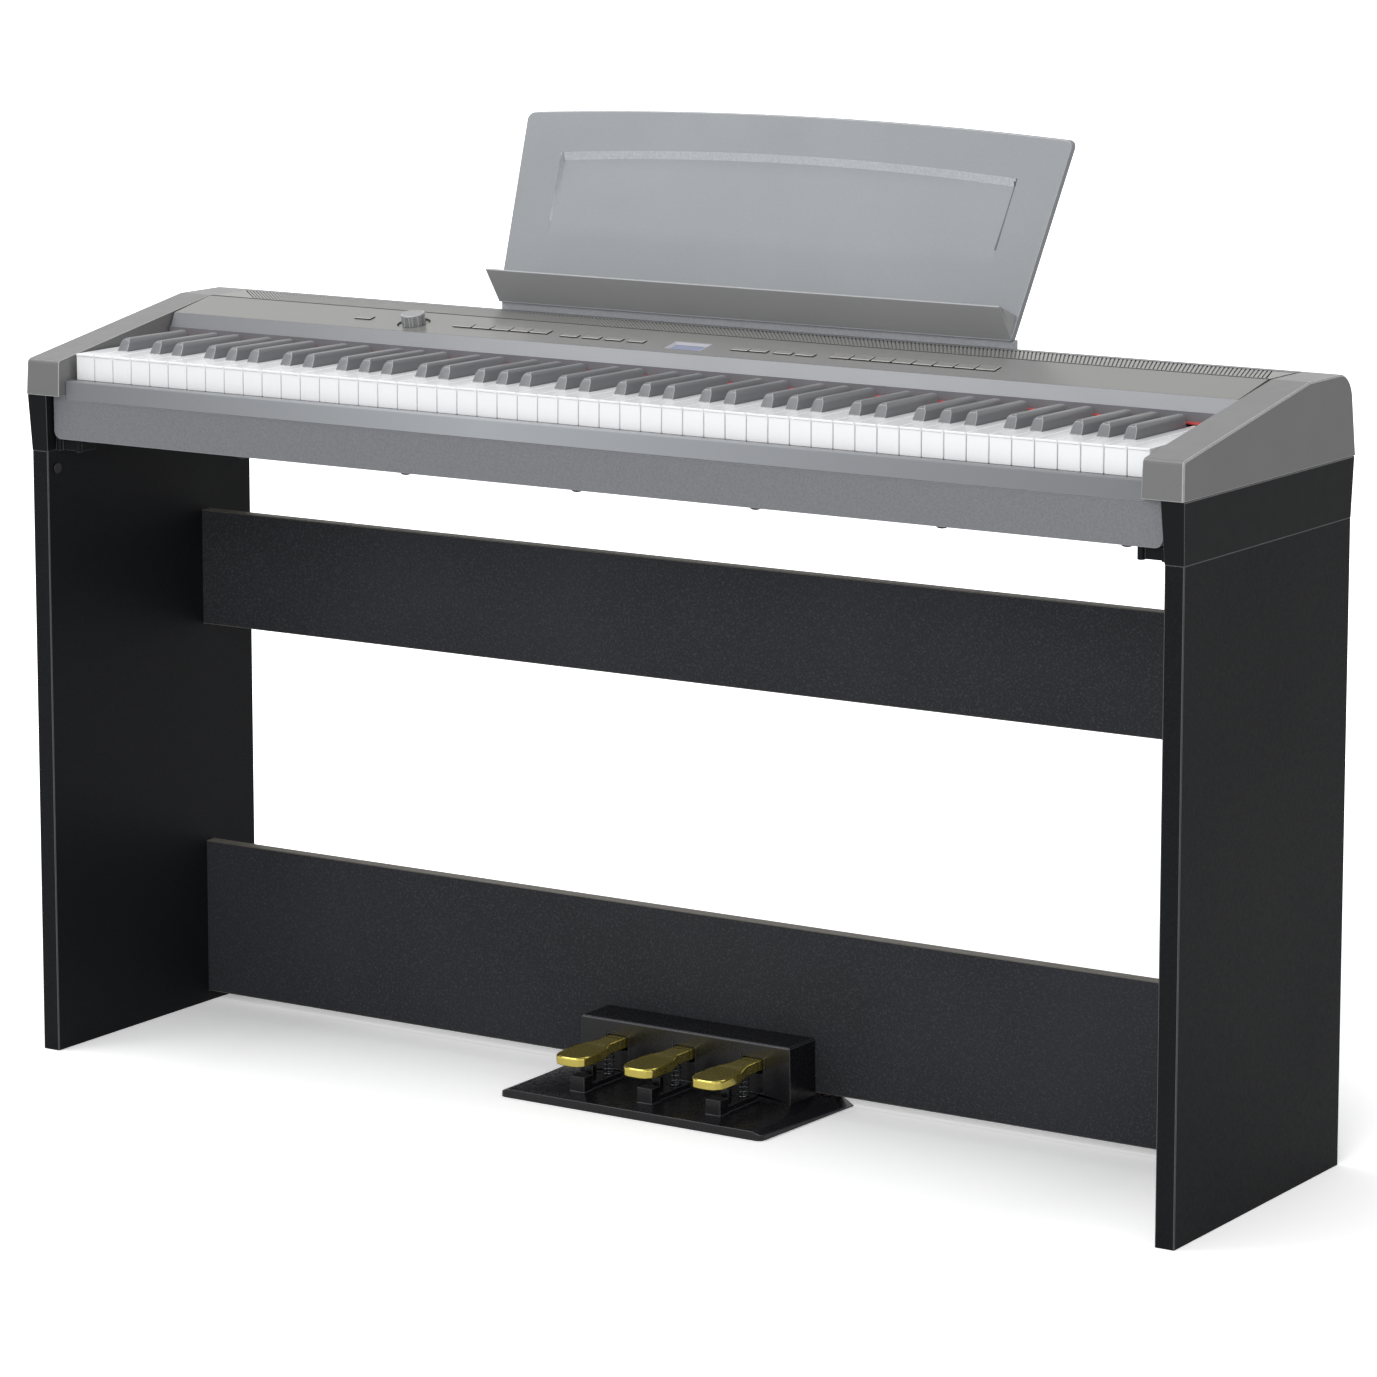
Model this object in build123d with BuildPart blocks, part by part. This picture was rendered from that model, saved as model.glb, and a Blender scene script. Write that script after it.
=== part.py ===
"""Digital piano with a weighted 88-key action on a panel stand with a three-pedal unit.

Millimetres, +Z up, the player sits on the -Y side. The origin lies on the floor under the middle of
the overall box. Depths ("_d") are counted back from the front edge of the cheeks. A length that
follows from another piece is written from that piece's size, so that what meets stays together.
"""

import math
import os

from build123d import *

os.makedirs("parts", exist_ok=True)

# ---------------------------------------------------------------- widths, from the keyboard outwards
key_pitch = 23.5  # one seventh of the 164.5 mm octave
white_count = 52
key_gap = 1.1  # between neighbouring white keys
black_width = 12.4
black_top_width = 8.6
black_gap = 0.8  # between a black key and the white tails beside it
# Sideways shift of each black key from the joint between the white keys beside it.
black_shift = {"c_sharp": -2.0, "d_sharp": 2.0, "f_sharp": -3.8, "g_sharp": 0.0, "a_sharp": 3.8}
white_names = ["a", "b", "c", "d", "e", "f", "g"]
keyboard_half = white_count * key_pitch / 2
chassis_inset = 3.0
chassis_half = keyboard_half - chassis_inset
cheek_clear = 3.5  # between the last key and the cheek
cheek_in = keyboard_half + cheek_clear
cheek_t = 42.5
cheek_draft = (1.5, 1.6)  # how far its inner and outer faces lean in at the top
cheek_out = cheek_in + cheek_t
cheek_in_top = cheek_in + cheek_draft[0]
cheek_out_top = cheek_out - cheek_draft[1]
panel_clear = 1.0
inner_half = cheek_in - panel_clear  # parts that fit between the cheeks
case_under_cheek = 16.5
case_half = cheek_in + case_under_cheek
shoulder_clear = 2.0
side_clear = 4.5
side_t = 20.0
tab_length = 33.5
shoulder_in = case_half + shoulder_clear
side_in = case_half + side_clear
tab_in = side_in - tab_length

# ---------------------------------------------------------------- heights, from the stand upwards
side_top_z = 623.0
shoulder_height = 58.0
cheek_height = 79.0
case_drop = 45.0  # how far the tub hangs below the cheeks
case_wall = 4.0
case_clear = 0.3
cheek_front_height = 36.0
action_height = 69.0  # from under the tub to the undersides of the keys' tails
tail_height = 17.8
head_drop = 9.0  # how far the heads reach below the tails
black_rise = 12.6
black_tail_drop = 1.4
slip_rise = 0.5
deck_rise = 12.0
chassis_floor_t = 3.0
cheek_bottom_z = side_top_z + shoulder_height
cheek_front_z = cheek_bottom_z + cheek_front_height
case_top_z = cheek_bottom_z + cheek_height
case_bottom_z = cheek_bottom_z - case_drop
chassis_floor_z = case_bottom_z + case_wall + case_clear
tail_bottom_z = case_bottom_z + action_height
key_top_z = tail_bottom_z + tail_height
head_bottom_z = tail_bottom_z - head_drop
black_top_z = key_top_z + black_rise
black_tail_z = key_top_z - black_tail_drop
slip_top_z = head_bottom_z + slip_rise
slip_bottom_z = cheek_bottom_z - case_wall
deck_front_z = case_top_z - deck_rise

# ---------------------------------------------------------------- depths, from front to back
key_front_d = 23.4
key_length = 241.2
head_length = 40.2
black_slope_d = 8.0  # how far the front of a black key leans back over its height
black_cap_length = 98.6
key_lip = 0.8
key_lip_t = 2.2
head_end_d = key_front_d + head_length
black_front_d = head_end_d + black_gap
black_cap_end_d = black_front_d + black_cap_length
key_end_d = key_front_d + key_length
slip_t = 11.2
slip_clear = 1.6
slip_proud = 1.0
chassis_clear = 1.4
slip_back_d = key_front_d - slip_clear
slip_front_d = slip_back_d - slip_t
apron_front_d = slip_front_d + slip_proud
chassis_front_d = apron_front_d + case_wall + chassis_clear
key_reach = 164.2  # from the keys' front to the control panel
deck_front_d = key_front_d + key_reach
deck_run = 60.0
deck_t = 3.0
groove = 1.6  # between the control panel and the grille
grille_depth = 56.6
grille_front_d = deck_front_d + deck_run + groove
grille_back_d = grille_front_d + grille_depth
slope_overrun = 2.0
slope_end_d = deck_front_d + deck_run + slope_overrun
cover_t = 3.0
cover_depth = 29.7
back_lean = 9.1
case_corner_d = grille_back_d + cover_depth
case_back_d = case_corner_d + back_lean
case_rear_d = case_back_d - cover_t

# ---------------------------------------------------------------- action under the keys
rod_r = 3.0
rod_clear = 0.3  # between a pivot rod and the lever that rocks on it
rail_felt_inset = 1.0
key_dip = 10.5
tail_overhang = 10.0
key_pivot_d = key_end_d - tail_overhang
key_pivot_z = tail_bottom_z - rod_clear - rod_r
stop_rail_setback = 3.6
stop_rail_t = 23.0
stop_felt_t = 3.0
stop_rail_d = (key_front_d + stop_rail_setback, key_front_d + stop_rail_setback + stop_rail_t)
stop_rail_z = head_bottom_z - key_dip - stop_felt_t
rest_rail_height = 5.7
rest_rail_t = 14.0
rest_rail_inset = 0.6
rest_felt_t = 3.6
rest_rail_z = chassis_floor_z + rest_rail_height
hammer_arm = 38.0
hammer_setback = 98.0
hammer_head_reach = (49.4, 86.0)
hammer_drop = 20.0
hammer_clear = 0.4
hammer_pivot_d = key_pivot_d - hammer_setback
hammer_pivot_z = tail_bottom_z - hammer_drop
hammer_front_d = hammer_pivot_d - hammer_arm
hammer_head_d = (hammer_pivot_d + hammer_head_reach[0], hammer_pivot_d + hammer_head_reach[1])
hammer_head_z = rest_rail_z + rest_felt_t + hammer_clear
hammer_slope = math.tan(math.radians(12.0))
hammer_front_top_z = tail_bottom_z - hammer_clear
hammer_width = 7.0
rest_rail_back_d = hammer_head_d[1] - rest_rail_inset
rest_rail_d = (rest_rail_back_d - rest_rail_t, rest_rail_back_d)

# ---------------------------------------------------------------- piano case
cheek_front_lean = 1.7
case_round = 26.0
case_corner_r = 9.0
fallboard_drop = 13.5
fallboard_t = 3.2
fallboard_setback = 9.0
fallboard_slope = 7.0
fallboard_d = deck_front_d - fallboard_setback  # front of its return over the keys
felt_over_keys = 0.8
felt_t = 1.8
felt_width = 8.4
felt_proud = 5.0
felt_z = (key_top_z + felt_over_keys, key_top_z + felt_over_keys + felt_t)
felt_d = (fallboard_d - felt_proud, fallboard_d - felt_proud + felt_width)
grille_t = 3.0
grille_pitch = 0.85 * key_pitch
slot_width = 5.0
slot_length = 50.0
slot_depth = 1.6
speaker_x = 430.0
speaker_frame = (150.0, 46.0)
speaker_frame_t = 6.0
speaker_back = (96.0, 42.0)
speaker_back_t = 16.0
jack_window = (150.0, 20.0)
jack_rise = 24.0
jack_at = (-350.0, case_bottom_z + jack_rise)
jack_flange = (164.0, 28.0)
jack_flange_t = 2.0
jack_block = (140.0, 15.0)
jack_block_t = 14.0
power_inlet = (-52.0, 2.8)  # across from the plate's middle, and the radius
phone_jack = (-12.0, 3.2)
data_socket_x = 45.0
data_socket_size = (12.0, 10.4)

# ---------------------------------------------------------------- controls, on the sloping panel
button_proud = 1.4
button_depth = 6.9
button_clear = 0.25
bank_clear = 0.3
small_size = (20.4, 8.6)
small_row_s = 25.0
small_x = [-136.5, -110.2, -83.9, -57.6, 63.0, 84.0, 111.9, 137.3]
style_pitch = 23.2
style_count = 5
style_centre = (-221.5, 30.2)
style_size = (22.4, 12.4)
voice_pitch = 22.9
voice_count = 8
voice_centre = (256.0, 28.4)
voice_size = (22.1, 13.4)
power_size = (20.4, 10.4)
power_at = (-391.5, 30.0)
knob_r = 12.1
knob_height = 10.6
knob_rim_t = 2.4
flute_count = 8
flute_r = 9.0
flute_deep = 0.9
knob_dish_r = 17.2
knob_dish_depth = 1.5
knob_shaft_r = 3.0
knob_clear = 0.3
knob_at = (-328.0, 26.5)
window_at = (2.5, 24.0)
window_outer = (46.0, 25.0)
window_inner = (33.4, 12.6)
window_depth = 2.0
glass_t = 1.8
glass_clear = 0.15
board_size = (800.0, 46.0)
board_at = (-22.0, 31.0)
board_gap = 7.0
board_t = 1.6

# ---------------------------------------------------------------- music rest
rest_lean = math.radians(24.3)
rest_t = 8.0
rest_setback = 16.7
rest_rise = 6.0
rest_height = 187.0
rest_arch = 9.5
rest_flare = 19.0
rest_base_setback = 5.6
rest_base_t = 8.9
rest_seat_drop = 15.0
rest_lip_reach = 22.5
rest_lip_height = 36.0
rest_lip_t = 3.6
rest_tray_half = 300.0
rest_half_low = rest_tray_half + 1.0
rest_half_top = rest_half_low + rest_flare
rest_root_d = grille_back_d + rest_setback
rest_root_z = case_top_z + rest_rise
rest_shoulder_z = rest_root_z + rest_height
rest_crown_z = rest_shoulder_z + rest_arch
rest_base_d = (rest_root_d + rest_base_setback, rest_root_d + rest_base_setback + rest_base_t)
rest_seat_z = case_top_z - rest_seat_drop
rest_lip_d = rest_root_d - rest_lip_reach
rest_lip_z = rest_root_z + rest_lip_height
ledge_t = 23.0
tongue_at = 150.0
tongue_size = (60.0, 5.0)
tongue_deep = 21.5
tongue_setback = 3.9
tongue_mid_d = rest_base_d[0] + tongue_setback
recess_border = 33.0
recess_half = rest_half_low - recess_border
recess_rise = (70.0, 141.0, 149.5)  # where it fades out, its deepest line and its top edge
recess_z = [rest_root_z + rise for rise in recess_rise]
recess_deep = 5.2
web_t = 3.4
web_height = 25.0
fit_clear = 0.3

# ---------------------------------------------------------------- stand
side_front_d = 6.5
shoulder_overhang = (4.3, 2.5)  # past the side panel, at the front and at the back
shoulder_d = (side_front_d - shoulder_overhang[0], case_rear_d + 0.4)
side_depth = shoulder_d[1] - shoulder_overhang[1] - side_front_d
rail_t = 14.0
rail_setback = 85.5
rail_d = shoulder_d[1] - rail_setback
upper_rail_height = 122.0
upper_rail_drop = 92.0
upper_rail_z = (side_top_z - upper_rail_drop - upper_rail_height, side_top_z - upper_rail_drop)
lower_rail_height = 164.0
lower_rail_lift = 11.0
lower_rail_z = (lower_rail_lift, lower_rail_lift + lower_rail_height)
tenon = 8.0
tenon_clear = 0.1
tab_setback = 13.5
tab_width = 21.0
tab_rise = 1.0
tab_d = (side_front_d + tab_setback, side_front_d + tab_setback + tab_width)
tab_z = side_top_z + tab_rise
post_r = 3.5
cap_setback = (14.0, 13.5)
cap_drop = 18.5
cap_d = (side_front_d + cap_setback[0], side_front_d + side_depth - cap_setback[1])
cap_z = side_top_z - cap_drop
cap_r = 5.6
cap_t = 1.6

# ---------------------------------------------------------------- pedal unit
pedal_pitch = 80.0
house_overhang = 44.5  # past the outer pedals' middles
house_draft = 1.1
house_depth = 47.9
house_wall = 3.0
house_half = (pedal_pitch + house_overhang, pedal_pitch + house_overhang - house_draft)
house_front_d = rail_d - house_depth
plate_length = 160.4
plate_setback = 11.5
plate_margin = 29.0
plate_flare = 8.0
plate_bevel = (9.5, 12.5)
plate_z = 9.0
plate_edge_z = 1.6
plate_back_d = rail_d + plate_setback
plate_front_d = plate_back_d - plate_length
# Half widths at the front and at the back, on the floor and on top.
plate_half = (house_half[0] + plate_margin, house_half[0] + plate_margin + plate_flare)
plate_top_half = (plate_half[0] - plate_bevel[0], plate_half[1] - plate_bevel[1])
axle_inset = 2.0
axle_setback = 13.5
axle_height = 36.0
axle_clear = 0.06
pedal_axle_d = rail_d - axle_setback
pedal_axle_z = plate_z + axle_height
pedal_axle_half = house_half[0] - axle_inset
pedal_under = 6.0
pedal_over = 5.4
pedal_reach = 124.9
pedal_overhang = 9.0
pedal_z = (pedal_axle_z - pedal_under, pedal_axle_z + pedal_over)
pedal_nose_d = pedal_axle_d - pedal_reach
pedal_end_d = pedal_axle_d + pedal_overhang
# Half the pedal's width at each depth, from its nose back to the narrow arm.
pedal_plan = [
    (pedal_nose_d, 6.0),
    (pedal_nose_d + 2.0, 12.5),
    (pedal_nose_d + 7.0, 17.0),
    (pedal_nose_d + 13.5, 18.5),
    (pedal_nose_d + 38.5, 18.5),
    (pedal_nose_d + 64.5, 10.5),
    (pedal_end_d, 10.5),
]
crease_setback = 55.4
crease_d = pedal_nose_d + crease_setback
nose_drop = 2.2
slot_clear = 2.9
slot_below = 23.0
slot_above = 3.0
slot_half = pedal_plan[-1][1] + slot_clear
slot_z = (pedal_z[0] - slot_below, pedal_z[1] + slot_above)
house_over_slot = 13.1
house_z = slot_z[1] + house_over_slot
tower_width = 17.0
tower_depth = 15.4
tower_setback = 18.5
tower_height = 15.5
tower_d = (pedal_nose_d + tower_setback, pedal_nose_d + tower_setback + tower_depth)
tower_z = plate_z + tower_height
rib_width = 14.0
rib_clear = 0.2
rib_height = 6.0
rib_z = plate_z + rib_height
guide_size = (9.0, 7.0)
guide_setback = 42.9
guide_drop = 8.0
guide_d = pedal_nose_d + guide_setback
guide_z = pedal_z[0] - guide_drop
spring_reach = 15.6
spring_d = house_front_d - spring_reach
spring_r = 6.0
spring_wire = 1.5
spring_turns = 5
spring_sides = 8  # straight pieces in each turn
spring_mid_r = spring_r - spring_wire / 2
spring_rise = pedal_z[0] - fit_clear - rib_z - spring_wire - 0.2

depth = rest_root_d + (rest_crown_z - rest_root_z) * math.tan(rest_lean) + rest_t / math.cos(rest_lean)
front = -depth / 2
deck_angle = math.atan2(deck_rise, deck_run)
deck_length = math.hypot(deck_run, deck_rise)
deck = Plane(
    origin=(0, front + deck_front_d, deck_front_z),
    x_dir=(1, 0, 0),
    z_dir=(0, -math.sin(deck_angle), math.cos(deck_angle)),
)


def side_face(points):
    """A face in the YZ plane from (depth from the front edge, height) points."""
    with BuildSketch(Plane.YZ) as face:
        with BuildLine():
            Polyline(*[(front + d, z) for d, z in points], close=True)
        make_face()
    return face.sketch


def box_points(d, z):
    """The corners of a rectangle in side view."""
    return [(d[0], z[0]), (d[1], z[0]), (d[1], z[1]), (d[0], z[1])]


def save(part, name):
    """Labels a finished piece and writes it."""
    part.part.label = name
    export_step(part.part, f"parts/{name}.step")


# ================================================================ keys
# The keyboard starts with A. A white key is a wide head and a tail cut back beside the black keys.
white_left = -white_count * key_pitch / 2
black_after = {"a": "a_sharp", "c": "c_sharp", "d": "d_sharp", "f": "f_sharp", "g": "g_sharp"}
black_before = {"b": "a_sharp", "d": "c_sharp", "e": "d_sharp", "g": "f_sharp", "a": "g_sharp"}
black_half_slot = black_width / 2 + black_gap

lever_x = {}  # the middle of every key's tail, by note name
white_tails = {}
for number in range(white_count):
    note = white_names[number % 7]
    left = white_left + number * key_pitch
    tail_left = left + key_gap / 2
    tail_right = left + key_pitch - key_gap / 2
    if note in black_before and number > 0:
        tail_left = left + black_shift[black_before[note]] + black_half_slot
    if note in black_after and number < white_count - 1:
        tail_right = left + key_pitch + black_shift[black_after[note]] - black_half_slot
    white_tails.setdefault(note, []).append((left, tail_left, tail_right))
    lever_x.setdefault(note, []).append((tail_left + tail_right) / 2)
    if note in black_after and number < white_count - 1:
        sharp = black_after[note]
        lever_x.setdefault(sharp, []).append(left + key_pitch + black_shift[sharp])

tail_length = key_end_d - head_end_d + 1
for note in white_names:
    with BuildPart() as white_keys:
        for left, tail_left, tail_right in white_tails[note]:
            head_left = left + key_gap / 2
            head_width = key_pitch - key_gap
            with BuildSketch(Plane.XY.offset(head_bottom_z)):
                with Locations((head_left, front + key_front_d + key_lip)):
                    Rectangle(head_width, head_end_d - key_front_d - key_lip, align=(Align.MIN, Align.MIN))
            extrude(amount=key_top_z - head_bottom_z)
            with BuildSketch(Plane.XY.offset(key_top_z - key_lip_t)):
                with Locations((head_left, front + key_front_d)):
                    Rectangle(head_width, 2 * key_lip, align=(Align.MIN, Align.MIN))
            extrude(amount=key_lip_t)
            with BuildSketch(Plane.XY.offset(tail_bottom_z)):
                with Locations((tail_left, front + head_end_d - 1)):
                    Rectangle(tail_right - tail_left, tail_length, align=(Align.MIN, Align.MIN))
            extrude(amount=key_top_z - tail_bottom_z)
    save(white_keys, f"keys_{note}")

# A black key is a bevelled cap, sloped at the front, on a low tail that runs back under the case.
cap_side = [
    (black_front_d, tail_bottom_z),
    (black_front_d, key_top_z),
    (black_front_d + black_slope_d - 1.6, black_top_z - 1.4),
    (black_front_d + black_slope_d + 1.2, black_top_z),
    (black_cap_end_d, black_top_z - 1.0),
    (black_cap_end_d, tail_bottom_z),
]
for note in black_shift:
    with BuildPart() as black_keys:
        for x in lever_x[note]:
            with BuildSketch(Plane.XZ.offset(-front)):
                with BuildLine():
                    Polyline(
                        (x - black_width / 2, tail_bottom_z),
                        (x - black_width / 2, key_top_z),
                        (x - black_top_width / 2 - 0.9, black_top_z - 1.8),
                        (x - black_top_width / 2 + 0.9, black_top_z + 0.4),
                        (x + black_top_width / 2 - 0.9, black_top_z + 0.4),
                        (x + black_top_width / 2 + 0.9, black_top_z - 1.8),
                        (x + black_width / 2, key_top_z),
                        (x + black_width / 2, tail_bottom_z),
                        close=True,
                    )
                make_face()
            extrude(amount=-2 * black_cap_end_d)
        extrude(side_face(cap_side), amount=cheek_out, both=True, mode=Mode.INTERSECT)
        for x in lever_x[note]:
            with BuildSketch(Plane.XY.offset(tail_bottom_z)):
                with Locations((x, front + black_cap_end_d - 1)):
                    Rectangle(black_width, key_end_d - black_cap_end_d + 1, align=(Align.CENTER, Align.MIN))
            extrude(amount=black_tail_z - tail_bottom_z)
    save(black_keys, f"keys_{note}")

# ================================================================ hammers
# Each hammer is a steel arm with a heavy head at its rear, and rocks on the hammer rod. The key's tail
# pushes the short front arm down, and the head swings up, which weights the key and brings it back.
hammer_reach = (rod_r + rod_clear) / math.cos(math.atan(hammer_slope))


def hammer_underside(d):
    """Height of the hammer's underside, which slopes down to the rear above the rod."""
    return hammer_pivot_z + hammer_reach - (d - hammer_pivot_d) * hammer_slope


hammer_side = [
    (hammer_front_d, hammer_underside(hammer_front_d)),
    (hammer_head_d[0], hammer_underside(hammer_head_d[0])),
    (hammer_head_d[0], hammer_head_z),
    (hammer_head_d[1], hammer_head_z),
    (hammer_head_d[1], hammer_front_top_z - (hammer_head_d[1] - hammer_front_d) * hammer_slope),
    (hammer_front_d, hammer_front_top_z),
]
for note in lever_x:
    with BuildPart() as hammers:
        for x in lever_x[note]:
            with BuildSketch(Plane.YZ.offset(x - hammer_width / 2)):
                with BuildLine():
                    Polyline(*[(front + d, z) for d, z in hammer_side], close=True)
                make_face()
            extrude(amount=hammer_width)
    save(hammers, f"hammers_{note}")

# ================================================================ action frame
chassis_top_z = chassis_floor_z + chassis_floor_t
rod_seat = rod_r + 0.1
key_rail_d = (key_pivot_d - 5, key_pivot_d + 5)
hammer_rail_d = (hammer_pivot_d - 4.5, hammer_pivot_d + 4.5)
with BuildPart() as key_chassis:
    chassis_floor = box_points((chassis_front_d, key_rail_d[1]), (chassis_floor_z, chassis_top_z))
    extrude(side_face(chassis_floor), amount=chassis_half, both=True)
    for rail_span, rail_top in (
        (stop_rail_d, stop_rail_z),
        (hammer_rail_d, hammer_pivot_z - 0.5),
        (rest_rail_d, rest_rail_z),
        (key_rail_d, key_pivot_z - 0.5),
    ):
        rail_side = side_face(box_points(rail_span, (chassis_floor_z, rail_top)))
        extrude(rail_side, amount=chassis_half, both=True)
    for pivot_d, pivot_z in ((hammer_pivot_d, hammer_pivot_z), (key_pivot_d, key_pivot_z)):
        notch = box_points((pivot_d - rod_seat, pivot_d + rod_seat), (pivot_z - rod_r, pivot_z + 1))
        extrude(side_face(notch), amount=chassis_half, both=True, mode=Mode.SUBTRACT)
save(key_chassis, "key_chassis")

# One size of bright steel rod carries the keys, the hammers and the pedals.
with BuildPart() as pivot_rods:
    for pivot_d, pivot_z, half_length in (
        (hammer_pivot_d, hammer_pivot_z, chassis_half - 1),
        (key_pivot_d, key_pivot_z, chassis_half - 1),
        (pedal_axle_d, pedal_axle_z, pedal_axle_half),
    ):
        with BuildSketch(Plane.YZ):
            with Locations((front + pivot_d, pivot_z)):
                Circle(rod_r)
        extrude(amount=half_length, both=True)
save(pivot_rods, "pivot_rods")

with BuildPart() as felt_strips:
    extrude(side_face(box_points(felt_d, felt_z)), amount=inner_half - 2, both=True)
    for rail_span, rail_top, felt_t in (
        (stop_rail_d, stop_rail_z, stop_felt_t),
        (rest_rail_d, rest_rail_z, rest_felt_t),
    ):
        strip_d = (rail_span[0] + rail_felt_inset, rail_span[1] - rail_felt_inset)
        strip = side_face(box_points(strip_d, (rail_top, rail_top + felt_t)))
        extrude(strip, amount=chassis_half - 1, both=True)
save(felt_strips, "felt_strips")

# ================================================================ piano case
# The bottom case is a shallow tub with rounded lower edges, open at the front behind the apron.


def tub_outline(d, inset, top):
    """Front view of the tub at a depth: straight sides and rounded lower corners."""
    with BuildSketch(Plane.XZ.offset(-(front + d))) as outline:
        with Locations((0, case_bottom_z + inset)):
            Rectangle(2 * (case_half - inset), top - case_bottom_z - inset, align=(Align.CENTER, Align.MIN))
        fillet(outline.vertices().group_by(Axis.Y)[0], case_corner_r - inset)
    return outline.sketch


apron_back_d = apron_front_d + case_wall
tub_depth = case_rear_d - apron_back_d
with BuildPart() as bottom_case:
    extrude(tub_outline(apron_back_d, 0, cheek_bottom_z), amount=-tub_depth)
    tub_inside = tub_outline(apron_back_d, case_wall, cheek_bottom_z + 1)
    extrude(tub_inside, amount=-(tub_depth - case_wall), mode=Mode.SUBTRACT)
    with BuildSketch(Plane.XZ.offset(-(front + case_rear_d))):
        with Locations(jack_at):
            Rectangle(*jack_window)
    extrude(amount=case_wall, mode=Mode.SUBTRACT)
save(bottom_case, "bottom_case")

# The apron closes the tub's front. Its upper band, the key slip, stands proud in front of the keys.
with BuildPart() as front_apron:
    extrude(tub_outline(apron_front_d, 0, cheek_bottom_z), amount=-case_wall)
    slip = box_points((slip_front_d, slip_back_d), (slip_bottom_z, slip_top_z))
    extrude(side_face(slip), amount=inner_half + 0.6, both=True)
    slip_edges = front_apron.edges().filter_by(Axis.X).group_by(Axis.Z)[-1]
    fillet(slip_edges.sort_by(Axis.Y)[0], 2.0)
save(front_apron, "front_apron")

# The cheeks close the ends, stand on the shoulders and taper a little towards the top.
cheek_side = [
    (0.0, cheek_bottom_z),
    (cheek_front_lean, cheek_front_z),
    (slope_end_d, case_top_z),
    (case_corner_d, case_top_z),
    (case_back_d, cheek_bottom_z),
]
with BuildPart() as right_cheek:
    with BuildSketch(Plane.YZ) as cheek_outline:
        with BuildLine():
            Polyline(*[(front + d, z) for d, z in cheek_side], close=True)
        make_face()
        fillet(cheek_outline.vertices().sort_by(Axis.X)[1], 5.0)
        top_corners = cheek_outline.vertices().group_by(Axis.Y)[-1]
        fillet(top_corners.sort_by(Axis.X)[-1], case_round)
    extrude(amount=cheek_out)
    with BuildSketch(Plane.XZ.offset(-front)):
        with BuildLine():
            Polyline(
                (cheek_in, cheek_bottom_z),
                (cheek_out, cheek_bottom_z),
                (cheek_out_top, case_top_z),
                (cheek_in_top, case_top_z),
                close=True,
            )
        make_face()
    extrude(amount=-2 * case_back_d, mode=Mode.INTERSECT)
    outer_face = right_cheek.faces().sort_by(Axis.X)[-1]
    chamfer(outer_face.edges().sort_by(Axis.Z)[1:], 1.2)
save(right_cheek, "right_cheek")

with BuildPart() as left_cheek:
    mirror(right_cheek.part, about=Plane.YZ)
save(left_cheek, "left_cheek")

# The control panel slopes up from the fallboard to the grille.
bank_holes = [
    (style_centre, (style_count * style_pitch, style_size[1] + 2 * bank_clear)),
    (voice_centre, (voice_count * voice_pitch, voice_size[1] + 2 * bank_clear)),
    (power_at, (power_size[0] + 2 * button_clear, power_size[1] + 2 * button_clear)),
]
small_hole = (small_size[0] + 2 * button_clear, small_size[1] + 2 * button_clear)
bank_holes += [((x, small_row_s), small_hole) for x in small_x]
with BuildPart() as control_panel:
    with BuildSketch(deck):
        Rectangle(2 * inner_half, deck_length, align=(Align.CENTER, Align.MIN))
    extrude(amount=-deck_t)
    with BuildSketch(deck):
        for centre, size in bank_holes:
            with Locations(centre):
                Rectangle(*size)
        with Locations(knob_at):
            Circle(knob_shaft_r + knob_clear)
        with Locations(window_at):
            Rectangle(*window_inner)
    extrude(amount=-deck_t, mode=Mode.SUBTRACT)
    with BuildSketch(deck):
        with Locations(knob_at):
            Circle(knob_dish_r)
    extrude(amount=-knob_dish_depth, mode=Mode.SUBTRACT)
    with BuildSketch(deck):
        with Locations(window_at):
            Rectangle(*window_outer)
    with BuildSketch(deck.offset(-window_depth)):
        with Locations(window_at):
            Rectangle(*window_inner)
    loft(mode=Mode.SUBTRACT)
save(control_panel, "control_panel")

with BuildPart() as display_window:
    with BuildSketch(deck.offset(-window_depth)):
        with Locations(window_at):
            Rectangle(window_inner[0] - 2 * glass_clear, window_inner[1] - 2 * glass_clear)
    extrude(amount=-glass_t)
save(display_window, "display_window")

# The fallboard is the pale sloping strip over the keys' rear ends, with a return down to the felt.
under_deck = (deck_front_d + deck_t * math.sin(deck_angle), deck_front_z - deck_t * math.cos(deck_angle))
fallboard_low_z = deck_front_z - fallboard_drop
fallboard_side = [
    (deck_front_d - 0.3, deck_front_z - 0.1),
    (deck_front_d - fallboard_slope, fallboard_low_z),
    (fallboard_d, fallboard_low_z),
    (fallboard_d, felt_z[1]),
    (fallboard_d + fallboard_t, felt_z[1]),
    (fallboard_d + fallboard_t, fallboard_low_z - 2.0),
    (under_deck[0] + 1.6, under_deck[1] - 0.3),
    (under_deck[0] - 0.3, under_deck[1]),
]
with BuildPart() as fallboard:
    extrude(side_face(fallboard_side), amount=inner_half, both=True)
save(fallboard, "fallboard")

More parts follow.
